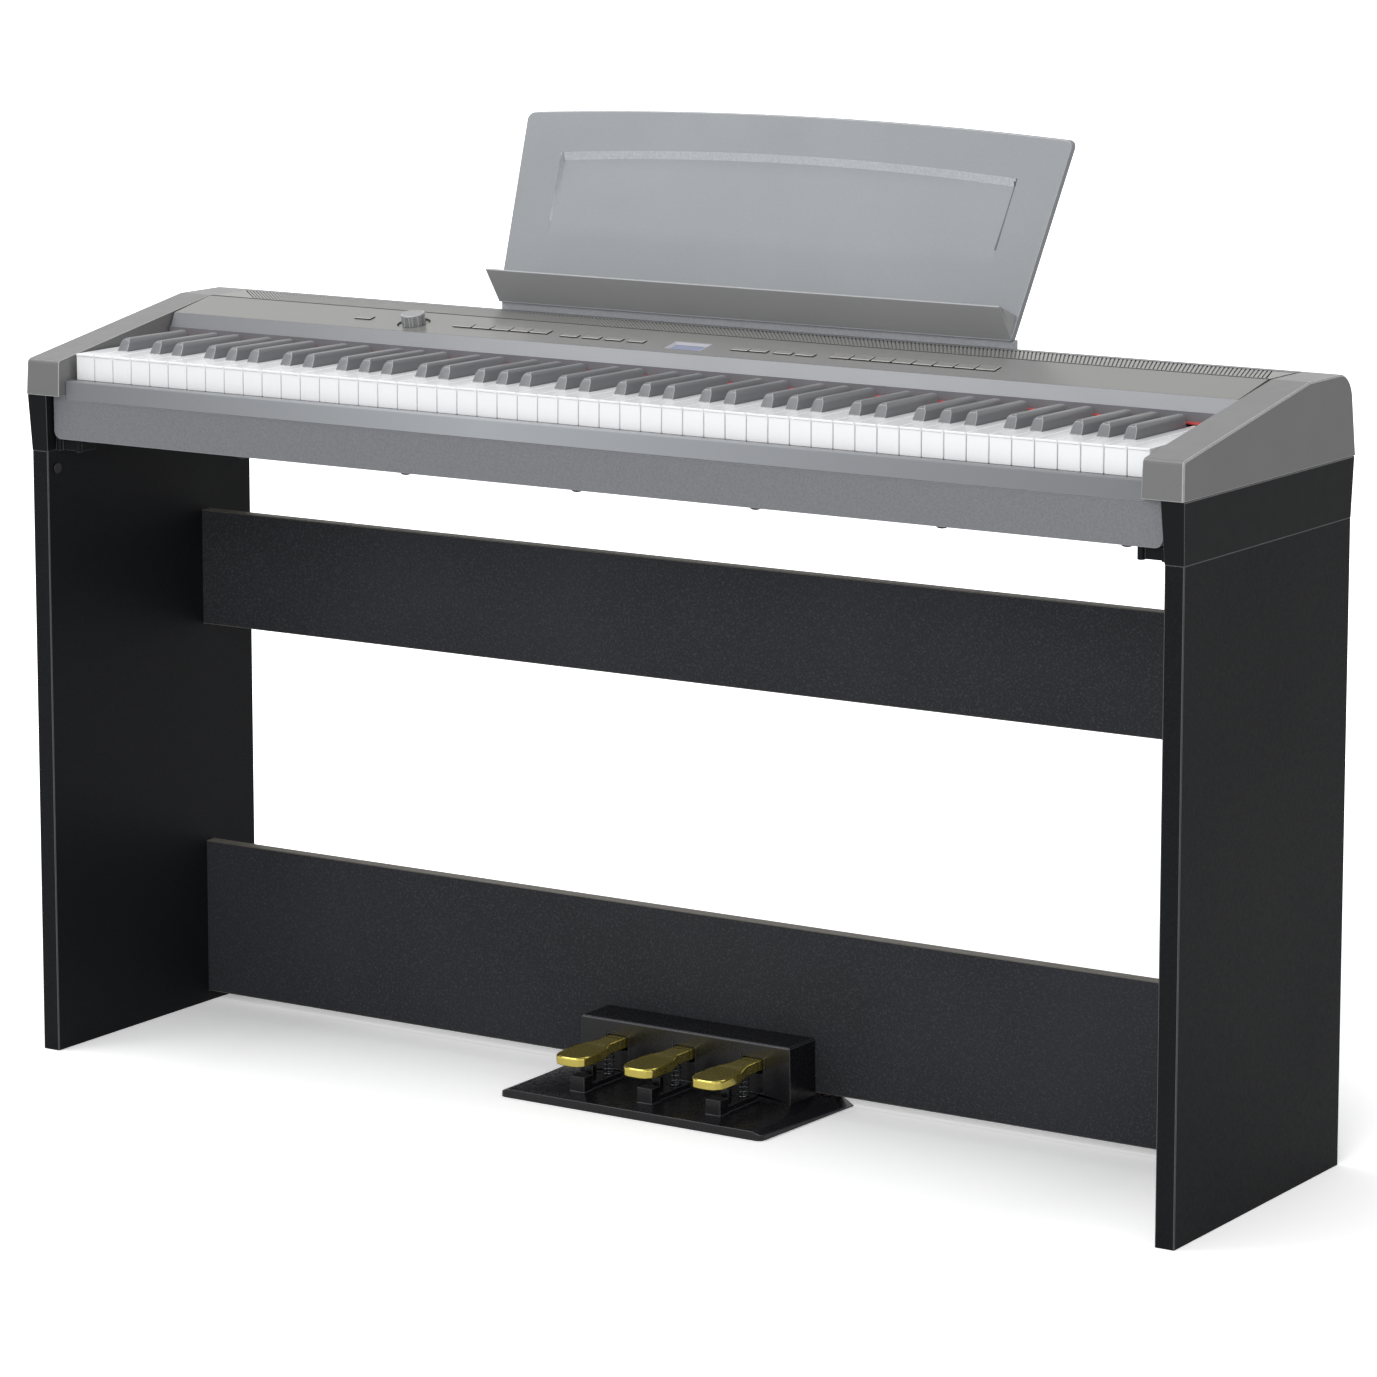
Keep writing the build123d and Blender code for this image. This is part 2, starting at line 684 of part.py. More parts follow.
# The grille covers the loudspeakers with narrow front-to-back slots.
grille_mid_d = (grille_front_d + grille_back_d) / 2
slot_count = int(2 * (inner_half - 6) / grille_pitch)
with BuildPart() as speaker_grille:
    grille_plate = box_points((grille_front_d, grille_back_d), (case_top_z - grille_t, case_top_z))
    extrude(side_face(grille_plate), amount=inner_half, both=True)
    with BuildSketch(Plane.XY.offset(case_top_z)):
        with Locations((0, front + grille_mid_d)):
            with GridLocations(grille_pitch, 1, slot_count, 1):
                Rectangle(slot_width, slot_length)
    extrude(amount=-slot_depth, mode=Mode.SUBTRACT)
save(speaker_grille, "speaker_grille")

with BuildPart() as speakers:
    speaker_top_z = case_top_z - grille_t
    for size, top_z, height, taper in (
        (speaker_frame, speaker_top_z, speaker_frame_t, 0),
        (speaker_back, speaker_top_z - speaker_frame_t, speaker_back_t, 30),
    ):
        with BuildSketch(Plane.XY.offset(top_z)):
            with Locations((-speaker_x, front + grille_mid_d), (speaker_x, front + grille_mid_d)):
                Rectangle(*size)
        extrude(amount=-height, taper=taper)
save(speakers, "speakers")

with BuildPart() as main_board:
    with BuildSketch(deck.offset(-board_gap)):
        with Locations(board_at):
            Rectangle(*board_size)
    extrude(amount=-board_t)
save(main_board, "main_board")

# The rear cover carries on the cheeks' outline between them. A ledge with two slots in its middle
# takes the music rest.
cover_side = [
    (grille_back_d + 0.2, case_top_z),
    (case_corner_d, case_top_z),
    (case_back_d, cheek_bottom_z),
    (case_back_d - cover_t, cheek_bottom_z),
    (case_corner_d - cover_t + 0.3, case_top_z - cover_t),
    (grille_back_d + 0.2, case_top_z - cover_t),
]
with BuildPart() as rear_cover:
    with BuildSketch(Plane.YZ) as cover_outline:
        with BuildLine():
            Polyline(*[(front + d, z) for d, z in cover_side], close=True)
        make_face()
        fillet(cover_outline.vertices().group_by(Axis.Y)[-1].sort_by(Axis.X)[-1], case_round)
        inner_corners = cover_outline.vertices().group_by(Axis.Y)[-2]
        fillet(inner_corners.sort_by(Axis.X)[-1], case_round - cover_t)
    extrude(amount=inner_half, both=True)
    ledge = box_points((rest_base_d[0] - 4.0, case_corner_d + 0.6), (rest_seat_z - ledge_t, rest_seat_z))
    extrude(side_face(ledge), amount=rest_tray_half + 5, both=True)
    with BuildSketch(Plane.XY.offset(rest_seat_z)):
        with Locations((0, front + rest_base_d[0] - fit_clear)):
            Rectangle(2 * (rest_tray_half + fit_clear), 40, align=(Align.CENTER, Align.MIN))
    extrude(amount=40, mode=Mode.SUBTRACT)
    with BuildSketch(Plane.XY.offset(rest_seat_z)):
        with Locations((-tongue_at, front + tongue_mid_d), (tongue_at, front + tongue_mid_d)):
            Rectangle(tongue_size[0] + 2 * fit_clear, tongue_size[1] + 2 * fit_clear)
    extrude(amount=-30, mode=Mode.SUBTRACT)
save(rear_cover, "rear_cover")

# A plate on the rear wall carries the sockets in one block: the power inlet, a headphone jack and a
# square data socket.
with BuildPart() as jack_plate:
    with BuildSketch(Plane.XZ.offset(-(front + case_rear_d))):
        with Locations(jack_at):
            Rectangle(*jack_flange)
    extrude(amount=-jack_flange_t)
    with BuildSketch(Plane.XZ.offset(-(front + case_rear_d))):
        with Locations(jack_at):
            Rectangle(*jack_block)
    extrude(amount=jack_block_t)
    with BuildSketch(Plane.XZ.offset(-(front + case_rear_d + jack_flange_t))):
        for offset_x, bore_r in (power_inlet, phone_jack):
            with Locations((jack_at[0] + offset_x, jack_at[1])):
                Circle(bore_r)
        with Locations((jack_at[0] + data_socket_x, jack_at[1])):
            Rectangle(*data_socket_size)
    extrude(amount=jack_block_t - 2.0, mode=Mode.SUBTRACT)
save(jack_plate, "jack_plate")

# ================================================================ controls
deck_up = Axis(deck.origin, deck.z_dir)
button_sets = {
    "power_button": ([power_at], power_size),
    "small_buttons": ([(x, small_row_s) for x in small_x], small_size),
}
for name, centre, pitch, count, size in (
    ("style_buttons", style_centre, style_pitch, style_count, style_size),
    ("voice_buttons", voice_centre, voice_pitch, voice_count, voice_size),
):
    first = centre[0] - pitch * (count - 1) / 2
    button_sets[name] = ([(first + i * pitch, centre[1]) for i in range(count)], size)
for name, (centres, size) in button_sets.items():
    with BuildPart() as buttons:
        with BuildSketch(deck.offset(button_proud)):
            with Locations(*centres):
                Rectangle(*size)
        extrude(amount=-button_depth)
        chamfer(buttons.faces().group_by(deck_up)[-1].edges(), 0.5)
    save(buttons, name)

# The knob's skirt has finger flutes below a plain rim.
with BuildPart() as volume_knob:
    with BuildSketch(deck.offset(knob_clear - knob_dish_depth)):
        with Locations(knob_at):
            Circle(knob_r)
    extrude(amount=knob_height + knob_dish_depth - knob_clear)
    chamfer(volume_knob.edges().group_by(deck_up)[-1], 0.8)
    with BuildSketch(deck.offset(knob_clear - knob_dish_depth)):
        with Locations(knob_at):
            with PolarLocations(knob_r + flute_r - flute_deep, flute_count):
                Circle(flute_r)
    extrude(amount=knob_height + knob_dish_depth - knob_clear - knob_rim_t, mode=Mode.SUBTRACT)
    with BuildSketch(deck.offset(knob_clear - knob_dish_depth)):
        with Locations(knob_at):
            Circle(knob_shaft_r)
    extrude(amount=-(board_gap - knob_dish_depth - 0.1))
save(volume_knob, "volume_knob")

# ================================================================ music rest
# A leaning panel with an arched top over a V-shaped tray. Two tongues plug into the rear cover.
lean = math.tan(rest_lean)


def rest_front(z):
    """Depth of the panel's front surface at a height."""
    return rest_root_d + (z - rest_root_z) * lean


rest_back = rest_t / math.cos(rest_lean)
over_z = rest_crown_z + 5
panel_side = [
    (rest_front(rest_root_z), rest_root_z),
    (rest_front(over_z), over_z),
    (rest_front(over_z) + rest_back, over_z),
    (rest_front(rest_root_z) + rest_back, rest_root_z),
]
tray_side = [
    (rest_base_d[0], rest_seat_z + fit_clear),
    (rest_base_d[0], rest_root_z - 1.0),
    (rest_root_d + 1.0, rest_root_z),
    (rest_lip_d - 0.6, rest_lip_z - 1.2),
    (rest_lip_d + 0.4, rest_lip_z),
    (rest_lip_d + rest_lip_t - 0.6, rest_lip_z),
    (rest_front(rest_root_z + 6.5), rest_root_z + 6.5),
    (rest_front(rest_root_z + 6.5) + rest_back, rest_root_z + 6.5),
    (rest_front(rest_root_z) + rest_back, rest_root_z - 0.5),
    (rest_base_d[1], rest_root_z - 0.5),
    (rest_base_d[1], rest_seat_z + fit_clear),
]
web_side = [
    (rest_lip_d + rest_lip_t - 1.2, rest_lip_z - 0.3),
    (rest_front(rest_root_z + 6), rest_root_z + 6),
    (rest_front(rest_root_z + web_height) + 1, rest_root_z + web_height),
]
recess_side = [
    (rest_front(recess_z[2]) - 0.1, recess_z[2] + 0.1),
    (rest_front(recess_z[1]) + recess_deep, recess_z[1]),
    (rest_front(recess_z[0]) - 0.1, recess_z[0] - 0.1),
]
with BuildPart() as music_rest:
    extrude(side_face(panel_side), amount=rest_half_top + 5, both=True)
    with BuildSketch(Plane.XZ) as rest_outline:
        with BuildLine():
            Polyline(
                (-rest_half_top, rest_shoulder_z),
                (-rest_half_low, rest_root_z + 8),
                (-rest_tray_half, rest_root_z),
                (rest_tray_half, rest_root_z),
                (rest_half_low, rest_root_z + 8),
                (rest_half_top, rest_shoulder_z),
            )
            ThreePointArc(
                (rest_half_top, rest_shoulder_z),
                (0, rest_crown_z),
                (-rest_half_top, rest_shoulder_z),
            )
        make_face()
        corner_span = (rest_shoulder_z - 1, rest_shoulder_z + 1)
        fillet(rest_outline.vertices().filter_by_position(Axis.Y, *corner_span), 8.0)
    extrude(amount=depth, both=True, mode=Mode.INTERSECT)
    extrude(side_face(recess_side), amount=recess_half, both=True, mode=Mode.SUBTRACT)
    extrude(side_face(tray_side), amount=rest_tray_half, both=True)
    for web_x in (-rest_tray_half, rest_tray_half - web_t):
        with BuildSketch(Plane.YZ.offset(web_x)):
            with BuildLine():
                Polyline(*[(front + d, z) for d, z in web_side], close=True)
            make_face()
        extrude(amount=web_t)
    with BuildSketch(Plane.XY.offset(rest_seat_z + fit_clear)):
        with Locations((-tongue_at, front + tongue_mid_d), (tongue_at, front + tongue_mid_d)):
            Rectangle(*tongue_size)
    extrude(amount=-tongue_deep)
save(music_rest, "music_rest")

# ================================================================ stand
with BuildPart() as right_side_panel:
    with BuildSketch(Plane.XY):
        with Locations((side_in, front + side_front_d)):
            Rectangle(side_t, side_depth, align=(Align.MIN, Align.MIN))
    extrude(amount=side_top_z)
    chamfer(right_side_panel.edges().filter_by(Axis.Z), 0.8)
    for rail_z in (upper_rail_z, lower_rail_z):
        with BuildSketch(Plane.YZ.offset(side_in - 1)):
            with Locations((front + rail_d + rail_t / 2, sum(rail_z) / 2)):
                Rectangle(rail_t + 2 * tenon_clear, rail_z[1] - rail_z[0] + 2 * tenon_clear)
        extrude(amount=tenon + 1 + 2 * tenon_clear, mode=Mode.SUBTRACT)
save(right_side_panel, "right_side_panel")

with BuildPart() as left_side_panel:
    mirror(right_side_panel.part, about=Plane.YZ)
save(left_side_panel, "left_side_panel")

for name, rail_z in (("upper_rail", upper_rail_z), ("lower_rail", lower_rail_z)):
    with BuildPart() as rail:
        with BuildSketch(Plane.XY.offset(rail_z[0])):
            with Locations((0, front + rail_d)):
                Rectangle(2 * (side_in + tenon), rail_t, align=(Align.CENTER, Align.MIN))
        extrude(amount=rail_z[1] - rail_z[0])
        chamfer(rail.edges().filter_by(Axis.X), 0.6)
    save(rail, name)

# Each shoulder widens from the side panel up to the cheek and carries a tab and two posts under the
# case's front corner.
with BuildPart() as right_shoulder:
    with BuildSketch(Plane.XY.offset(side_top_z)):
        with Locations((side_in, front + side_front_d)):
            Rectangle(side_t, side_depth, align=(Align.MIN, Align.MIN))
    with BuildSketch(Plane.XY.offset(cheek_bottom_z)):
        with Locations((shoulder_in, front + shoulder_d[0])):
            Rectangle(cheek_out - shoulder_in, shoulder_d[1] - shoulder_d[0], align=(Align.MIN, Align.MIN))
    loft()
    chamfer(right_shoulder.edges().group_by(Axis.X)[-1], 0.8)
    with BuildSketch(Plane.XY.offset(tab_z)):
        with Locations((tab_in, front + tab_d[0])):
            Rectangle(side_in + 4 - tab_in, tab_d[1] - tab_d[0], align=(Align.MIN, Align.MIN))
    extrude(amount=case_bottom_z - 0.3 - tab_z)
    with BuildSketch(Plane.XY.offset(tab_z - 0.6)):
        with Locations(*[(x, front + tab_d[0] - 0.5) for x in (tab_in + post_r, side_in - post_r - 2)]):
            Circle(post_r)
    extrude(amount=case_bottom_z - 0.3 - tab_z + 0.6)
save(right_shoulder, "right_shoulder")

with BuildPart() as left_shoulder:
    mirror(right_shoulder.part, about=Plane.YZ)
save(left_shoulder, "left_shoulder")

# Round caps cover the bolts that hold the shoulders in the side panels.
with BuildPart() as bolt_caps:
    for side in (-1, 1):
        with BuildSketch(Plane(origin=(side * side_in, front, cap_z), x_dir=(0, 1, 0), z_dir=(-side, 0, 0))):
            with Locations((cap_d[0], 0), (cap_d[1], 0)):
                Circle(cap_r)
        extrude(amount=cap_t)
save(bolt_caps, "bolt_caps")

# ================================================================ pedal unit
pedal_x = [-pedal_pitch, 0.0, pedal_pitch]
with BuildPart() as pedal_base:
    with BuildSketch(Plane.XY) as plate_outline:
        with BuildLine():
            Polyline(
                (-plate_half[0], front + plate_front_d),
                (plate_half[0], front + plate_front_d),
                (plate_half[1], front + plate_back_d),
                (-plate_half[1], front + plate_back_d),
                close=True,
            )
        make_face()
        fillet(plate_outline.vertices().group_by(Axis.Y)[0], 7.0)
    extrude(amount=plate_z)
    for side in (-1, 1):
        with BuildSketch(Plane.XZ.offset(-(front + plate_front_d - 1))):
            with BuildLine():
                Polyline(
                    (side * (plate_half[0] - 0.6), plate_edge_z + 4.0),
                    (side * plate_top_half[0], plate_z + 0.01),
                    (side * (plate_half[1] + 9), plate_z + 0.01),
                    (side * (plate_half[1] + 9), plate_edge_z + 4.0),
                    close=True,
                )
            make_face()
        with BuildSketch(Plane.XZ.offset(-(front + plate_back_d + 1))):
            with BuildLine():
                Polyline(
                    (side * (plate_half[1] - 0.6), plate_edge_z),
                    (side * plate_top_half[1], plate_z + 0.01),
                    (side * (plate_half[1] + 9), plate_z + 0.01),
                    (side * (plate_half[1] + 9), plate_edge_z),
                    close=True,
                )
            make_face()
        loft(mode=Mode.SUBTRACT)
    for x in pedal_x:
        with BuildSketch(Plane.XY.offset(plate_z - 0.5)):
            with Locations((x, front + tower_d[0])):
                Rectangle(tower_width, tower_d[1] - tower_d[0], align=(Align.CENTER, Align.MIN))
        extrude(amount=tower_z - plate_z + 0.5)
        with BuildSketch(Plane.XY.offset(plate_z - 0.5)):
            with Locations((x, front + tower_d[1] - 1)):
                Rectangle(rib_width, house_front_d - tower_d[1] + 8, align=(Align.CENTER, Align.MIN))
        extrude(amount=rib_z - plate_z + 0.5)
        with BuildSketch(Plane.XY.offset(rib_z - 0.5)):
            with Locations((x, front + guide_d)):
                Rectangle(*guide_size)
        extrude(amount=guide_z - rib_z + 0.5)
save(pedal_base, "pedal_base")

house_back_d = rail_d
with BuildPart() as pedal_housing:
    with BuildSketch(Plane.XY.offset(plate_z)):
        with Locations((0, front + house_front_d)):
            Rectangle(2 * house_half[0], house_back_d - house_front_d, align=(Align.CENTER, Align.MIN))
    with BuildSketch(Plane.XY.offset(house_z)):
        with Locations((0, front + house_front_d)):
            Rectangle(2 * house_half[1], house_back_d - house_front_d, align=(Align.CENTER, Align.MIN))
    loft()
    top_edges = pedal_housing.edges().group_by(Axis.Z)[-1]
    chamfer(top_edges.sort_by(Axis.Y)[:-1], 1.5)
    with BuildSketch(Plane.XY.offset(plate_z)):
        with Locations((0, front + house_front_d + house_wall)):
            Rectangle(
                2 * (house_half[0] - house_wall - 1),
                house_back_d - house_front_d - house_wall,
                align=(Align.CENTER, Align.MIN),
            )
    extrude(amount=house_z - plate_z - house_wall, mode=Mode.SUBTRACT)
    axle_slot_d = (pedal_axle_d - rod_r - axle_clear, house_back_d + 1)
    axle_slot_z = (pedal_axle_z - rod_r - axle_clear, pedal_axle_z + rod_r + axle_clear)
    axle_slot = box_points(axle_slot_d, axle_slot_z)
    extrude(side_face(axle_slot), amount=pedal_axle_half + 0.2, both=True, mode=Mode.SUBTRACT)
    for x in pedal_x:
        with BuildSketch(Plane.XZ.offset(-(front + house_front_d - 1))):
            with Locations((x, slot_z[0])):
                Rectangle(2 * slot_half, slot_z[1] - slot_z[0], align=(Align.CENTER, Align.MIN))
        extrude(amount=-(house_wall + 2), mode=Mode.SUBTRACT)
        with BuildSketch(Plane.XZ.offset(-(front + house_front_d - 1))):
            with Locations((x, plate_z)):
                rib_gap = (rib_width + 2 * rib_clear, rib_z - plate_z + rib_clear)
                Rectangle(*rib_gap, align=(Align.CENTER, Align.MIN))
        extrude(amount=-(house_wall + 2), mode=Mode.SUBTRACT)
save(pedal_housing, "pedal_housing")

# Each pedal is a flat brass casting that turns on the rod inside the housing and rests on a spring.
nose_side = [
    (plate_front_d, pedal_z[1] + 1),
    (plate_front_d, pedal_z[1] - nose_drop * (crease_d - plate_front_d) / (crease_d - pedal_plan[0][0])),
    (crease_d, pedal_z[1]),
    (crease_d, pedal_z[1] + 1),
]
for name, x in zip(("left", "middle", "right"), pedal_x):
    with BuildPart() as pedal:
        with BuildSketch(Plane.XY.offset(pedal_z[0])):
            with BuildLine():
                right_edge = [(x + half, front + d) for d, half in pedal_plan]
                left_edge = [(x - half, front + d) for d, half in reversed(pedal_plan)]
                Polyline(*right_edge, *left_edge, close=True)
            make_face()
        extrude(amount=pedal_z[1] - pedal_z[0])
        extrude(side_face(nose_side), amount=2 * pedal_pitch, both=True, mode=Mode.SUBTRACT)
        rim = pedal.faces().filter_by(lambda face: face.normal_at().Z > 0.5).edges()
        nose_y = front + pedal_nose_d
        chamfer([edge for edge in rim if abs(edge.center().X - x) > 1 or edge.center().Y < nose_y + 1], 1.1)
        with BuildSketch(Plane.YZ.offset(x - 2 * pedal_plan[-1][1])):
            with Locations((front + pedal_axle_d, pedal_axle_z)):
                Circle(rod_r + axle_clear)
        extrude(amount=4 * pedal_plan[-1][1], mode=Mode.SUBTRACT)
    save(pedal, f"pedal_{name}")

    coil = []
    for step in range(spring_turns * spring_sides + 1):
        angle = 2 * math.pi * step / spring_sides
        coil_z = rib_z + spring_wire / 2 + 0.1 + spring_rise * step / (spring_turns * spring_sides)
        coil_x = x + spring_mid_r * math.cos(angle)
        coil.append((coil_x, front + spring_d + spring_mid_r * math.sin(angle), coil_z))
    with BuildPart() as spring:
        with BuildLine():
            Polyline(*coil)
        with BuildSketch(Plane(coil[0], x_dir=(0, 0, 1), z_dir=Vector(coil[1]) - Vector(coil[0]))):
            Rectangle(spring_wire, spring_wire)
        sweep(transition=Transition.RIGHT)
    save(spring, f"pedal_spring_{name}")
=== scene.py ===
import math
import bmesh
import bpy
from mathutils import Matrix, Vector


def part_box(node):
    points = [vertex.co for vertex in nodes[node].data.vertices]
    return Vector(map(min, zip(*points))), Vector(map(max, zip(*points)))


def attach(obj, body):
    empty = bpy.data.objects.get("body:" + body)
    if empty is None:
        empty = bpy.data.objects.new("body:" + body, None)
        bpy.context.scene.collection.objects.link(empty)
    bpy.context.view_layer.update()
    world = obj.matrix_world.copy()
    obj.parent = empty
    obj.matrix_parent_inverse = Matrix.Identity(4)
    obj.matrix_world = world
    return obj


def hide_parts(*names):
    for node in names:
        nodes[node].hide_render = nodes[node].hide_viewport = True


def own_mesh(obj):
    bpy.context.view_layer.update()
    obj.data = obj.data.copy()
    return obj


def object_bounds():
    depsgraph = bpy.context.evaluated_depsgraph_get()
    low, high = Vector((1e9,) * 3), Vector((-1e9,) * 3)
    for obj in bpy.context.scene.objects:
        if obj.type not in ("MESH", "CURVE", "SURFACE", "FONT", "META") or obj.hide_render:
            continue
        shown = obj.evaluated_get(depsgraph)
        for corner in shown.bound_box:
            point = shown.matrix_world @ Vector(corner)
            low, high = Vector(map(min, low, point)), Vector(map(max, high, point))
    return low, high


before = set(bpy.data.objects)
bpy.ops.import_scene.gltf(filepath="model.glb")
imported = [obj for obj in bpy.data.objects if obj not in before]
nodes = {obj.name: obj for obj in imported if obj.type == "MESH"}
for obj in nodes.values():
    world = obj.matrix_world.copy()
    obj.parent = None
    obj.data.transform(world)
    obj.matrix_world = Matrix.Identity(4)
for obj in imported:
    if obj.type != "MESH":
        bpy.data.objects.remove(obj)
cad_low, cad_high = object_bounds()

MM = 0.001
FRONT = cad_low.y  # the front edge of the cheeks, from where depths are measured


# ------------------------------------------------------------------ node helpers
def feed(tree, socket, value):
    """Gives a socket a plain value, or links another node's output to it."""
    if isinstance(value, bpy.types.NodeSocket):
        tree.links.new(value, socket)
    else:
        socket.default_value = value


def add_node(tree, kind, inputs=None, **settings):
    """Adds a node. Its inputs, by name or number, take plain values or other nodes' outputs."""
    node = tree.nodes.new(kind)
    for key, value in settings.items():
        setattr(node, key, value)
    for key, value in (inputs or {}).items():
        feed(tree, node.inputs[key], value)
    return node


def calculate(tree, operation, a, b):
    return add_node(tree, "ShaderNodeMath", {0: a, 1: b}, operation=operation).outputs["Value"]


def srgb(text):
    """Linear colour from a hex code."""
    parts = [int(text[i:i + 2], 16) / 255 for i in (1, 3, 5)]
    return tuple(c / 12.92 if c <= 0.04045 else ((c + 0.055) / 1.055) ** 2.4 for c in parts) + (1.0,)


def tone(colour, factor):
    """A colour made lighter or darker."""
    return tuple(min(1.0, c * factor) for c in colour[:3]) + (1.0,)


# ------------------------------------------------------------------ materials
MIX_A, MIX_B, MIX_RESULT = 6, 7, 2  # the colour sockets of a Mix node
# Windows of a noise's values for span(): with strong contrast, with soft contrast, and of two noises.
STRONG, SOFT, TWO = (0.35, 0.65), (0.3, 0.7), (0.6, 1.4)


class Look:
    """A Principled material with short calls for the textures that feed it."""

    def __init__(self, name):
        self.material = bpy.data.materials.new(name)
        self.material.use_nodes = True
        self.tree = self.material.node_tree
        self.shader = self.tree.nodes["Principled BSDF"]
        source = self.add("ShaderNodeTexCoord")
        self.coords = source.outputs["Object"]
        self.normal = source.outputs["Normal"]

    def add(self, kind, inputs=None, **settings):
        return add_node(self.tree, kind, inputs, **settings)

    def place(self, stretch):
        """The object's coordinates, scaled where a stretch is given."""
        if not stretch:
            return self.coords
        return self.add("ShaderNodeMapping", {"Vector": self.coords, "Scale": stretch}).outputs["Vector"]

    def noise(self, size, detail=2.0, rough=0.5, stretch=None):
        """Noise whose features are about size metres across."""
        inputs = {"Vector": self.place(stretch), "Scale": 1.0 / size, "Detail": detail, "Roughness": rough}
        return self.add("ShaderNodeTexNoise", inputs).outputs["Fac"]

    def cells(self, size, feature="F1", stretch=None):
        """Distances in a pattern of cells about size metres across."""
        inputs = {"Vector": self.place(stretch), "Scale": 1.0 / size}
        return self.add("ShaderNodeTexVoronoi", inputs, feature=feature).outputs["Distance"]

    def span(self, value, low, high, to_low=0.0, to_high=1.0):
        """Maps low to to_low and high to to_high, in a straight line between them."""
        limits = {"From Min": low, "From Max": high, "To Min": to_low, "To Max": to_high}
        return self.add("ShaderNodeMapRange", {"Value": value, **limits}).outputs["Result"]

    def sum(self, a, b):
        return calculate(self.tree, "ADD", a, b)

    def mix(self, share, a, b):
        """Colour a where share is 0, b where it is 1."""
        node = self.add("ShaderNodeMix", {"Factor": share, MIX_A: a, MIX_B: b}, data_type="RGBA")
        return node.outputs[MIX_RESULT]

    def part(self, vector, axis):
        return self.add("ShaderNodeSeparateXYZ", {0: vector}).outputs[axis]

    def turned_up(self, low, high):
        """0 on walls and undersides, 1 where a face looks up."""
        return self.span(self.part(self.normal, "Z"), low, high)

    def along(self, axis, stops):
        """A value that follows straight lines between (place, value) stops along one axis."""
        where = self.part(self.coords, axis)
        total = None
        for (start, a), (end, b) in zip(stops, stops[1:]):
            if total is None:
                total = self.span(where, start, end, a, b)
            else:
                total = self.sum(total, self.span(where, start, end, 0.0, b - a))
        return total

    def bump(self, value, depth):
        """Shows a value as a relief of depth metres."""
        relief = self.add("ShaderNodeBump", {"Strength": 1.0, "Distance": depth, "Height": value})
        self.set(Normal=relief.outputs["Normal"])

    def set(self, **values):
        """Feeds the shader's own inputs, whose names have _ for a space."""
        for key, value in values.items():
            feed(self.tree, self.shader.inputs[key.replace("_", " ")], value)


PATCH_SIZE, HANDLED_SIZE = 0.11, 0.02  # the broad patches of tone and of gloss, in metres
COAT_ROUGHNESS = 0.2


def moulded(
    name, colour, rough, grain, depth, patch=0.05, speck=0.05, specular=0.5, coat=0.0,
    painted_shade=None, painted_shade_at=(0.6, 0.9), drift=None, uneven=0.06
):
    """Moulded plastic: a fine grain in relief, faint patches of tone and uneven gloss.

    The patches vary the tone by patch, the grain varies it by speck, and the roughness varies by
    uneven. A painted shade colour darkens the faces that don't look up, such as the skirts of buttons,
    as painted shade. A drift is a second colour, an axis and the stops of its share along that axis.
    """
    look = Look(name)
    broad = look.noise(PATCH_SIZE, detail=3.0)
    fine = look.noise(grain, detail=3.0, rough=0.65)
    handled = look.noise(HANDLED_SIZE, detail=4.0, rough=0.6)
    patched = look.mix(look.span(broad, *STRONG), tone(colour, 1 - patch), tone(colour, 1 + patch))
    grained = look.mix(look.span(fine, *STRONG), tone(colour, 1 - 2 * speck), tone(colour, 1 + 2 * speck))
    shown = look.mix(0.5, patched, grained)
    if drift:
        second, axis, stops = drift
        shown = look.mix(look.along(axis, stops), shown, second)
    if painted_shade:
        shown = look.mix(look.turned_up(*painted_shade_at), painted_shade, shown)
    gloss = look.span(look.sum(handled, fine), *TWO, rough - uneven, rough + uneven)
    look.set(Base_Color=shown, Roughness=gloss, Specular_IOR_Level=specular)
    look.set(Coat_Weight=coat, Coat_Roughness=COAT_ROUGHNESS)
    look.bump(fine, depth)
    return look


def edge_highlight_look(name, colour, rough):
    """The thin rounded edge of a moulding, smoother than its faces, in a colour that paints its highlight.
    """
    look = Look(name)
    highlight_patches = look.noise(0.012, detail=4.0, rough=0.7)
    fine = look.noise(0.0015, detail=2.0)
    look.set(Base_Color=look.mix(look.span(highlight_patches, 0.35, 0.7), tone(colour, 0.92), tone(colour, 1.1)))
    look.set(Roughness=look.span(fine, *SOFT, rough - 0.05, rough + 0.08), Specular_IOR_Level=0.6)
    look.bump(fine, 0.00002)
    return look


def board(name, colour, pale, rough, grain, top=None):
    """Laminated board: a fine pebbled foil with scattered paler specks and faint drifts of sheen.

    A top colour tints the faces that look up.
    """
    look = Look(name)
    pebble = look.cells(grain)
    speck = look.noise(grain * 1.6, detail=3.0, rough=0.75)
    drift = look.noise(0.25, detail=2.0)
    scuff = look.noise(0.004, detail=4.0, rough=0.6, stretch=(0.15, 1.0, 1.0))
    tint = look.mix(look.span(speck, 0.5, 0.72), colour, pale)
    foil = look.mix(look.span(drift, *SOFT, 0.0, 0.35), tint, tone(pale, 0.8))
    if top:
        foil = look.mix(look.turned_up(0.6, 0.9), foil, top)
    sheen = look.span(drift, *SOFT, -0.04, 0.04)
    scuffed = look.span(scuff, *SOFT, rough - 0.05, rough + 0.05)
    look.set(Base_Color=foil, Roughness=look.sum(sheen, scuffed), Specular_IOR_Level=0.07)
    look.bump(look.sum(pebble, speck), 0.00006)
    return look


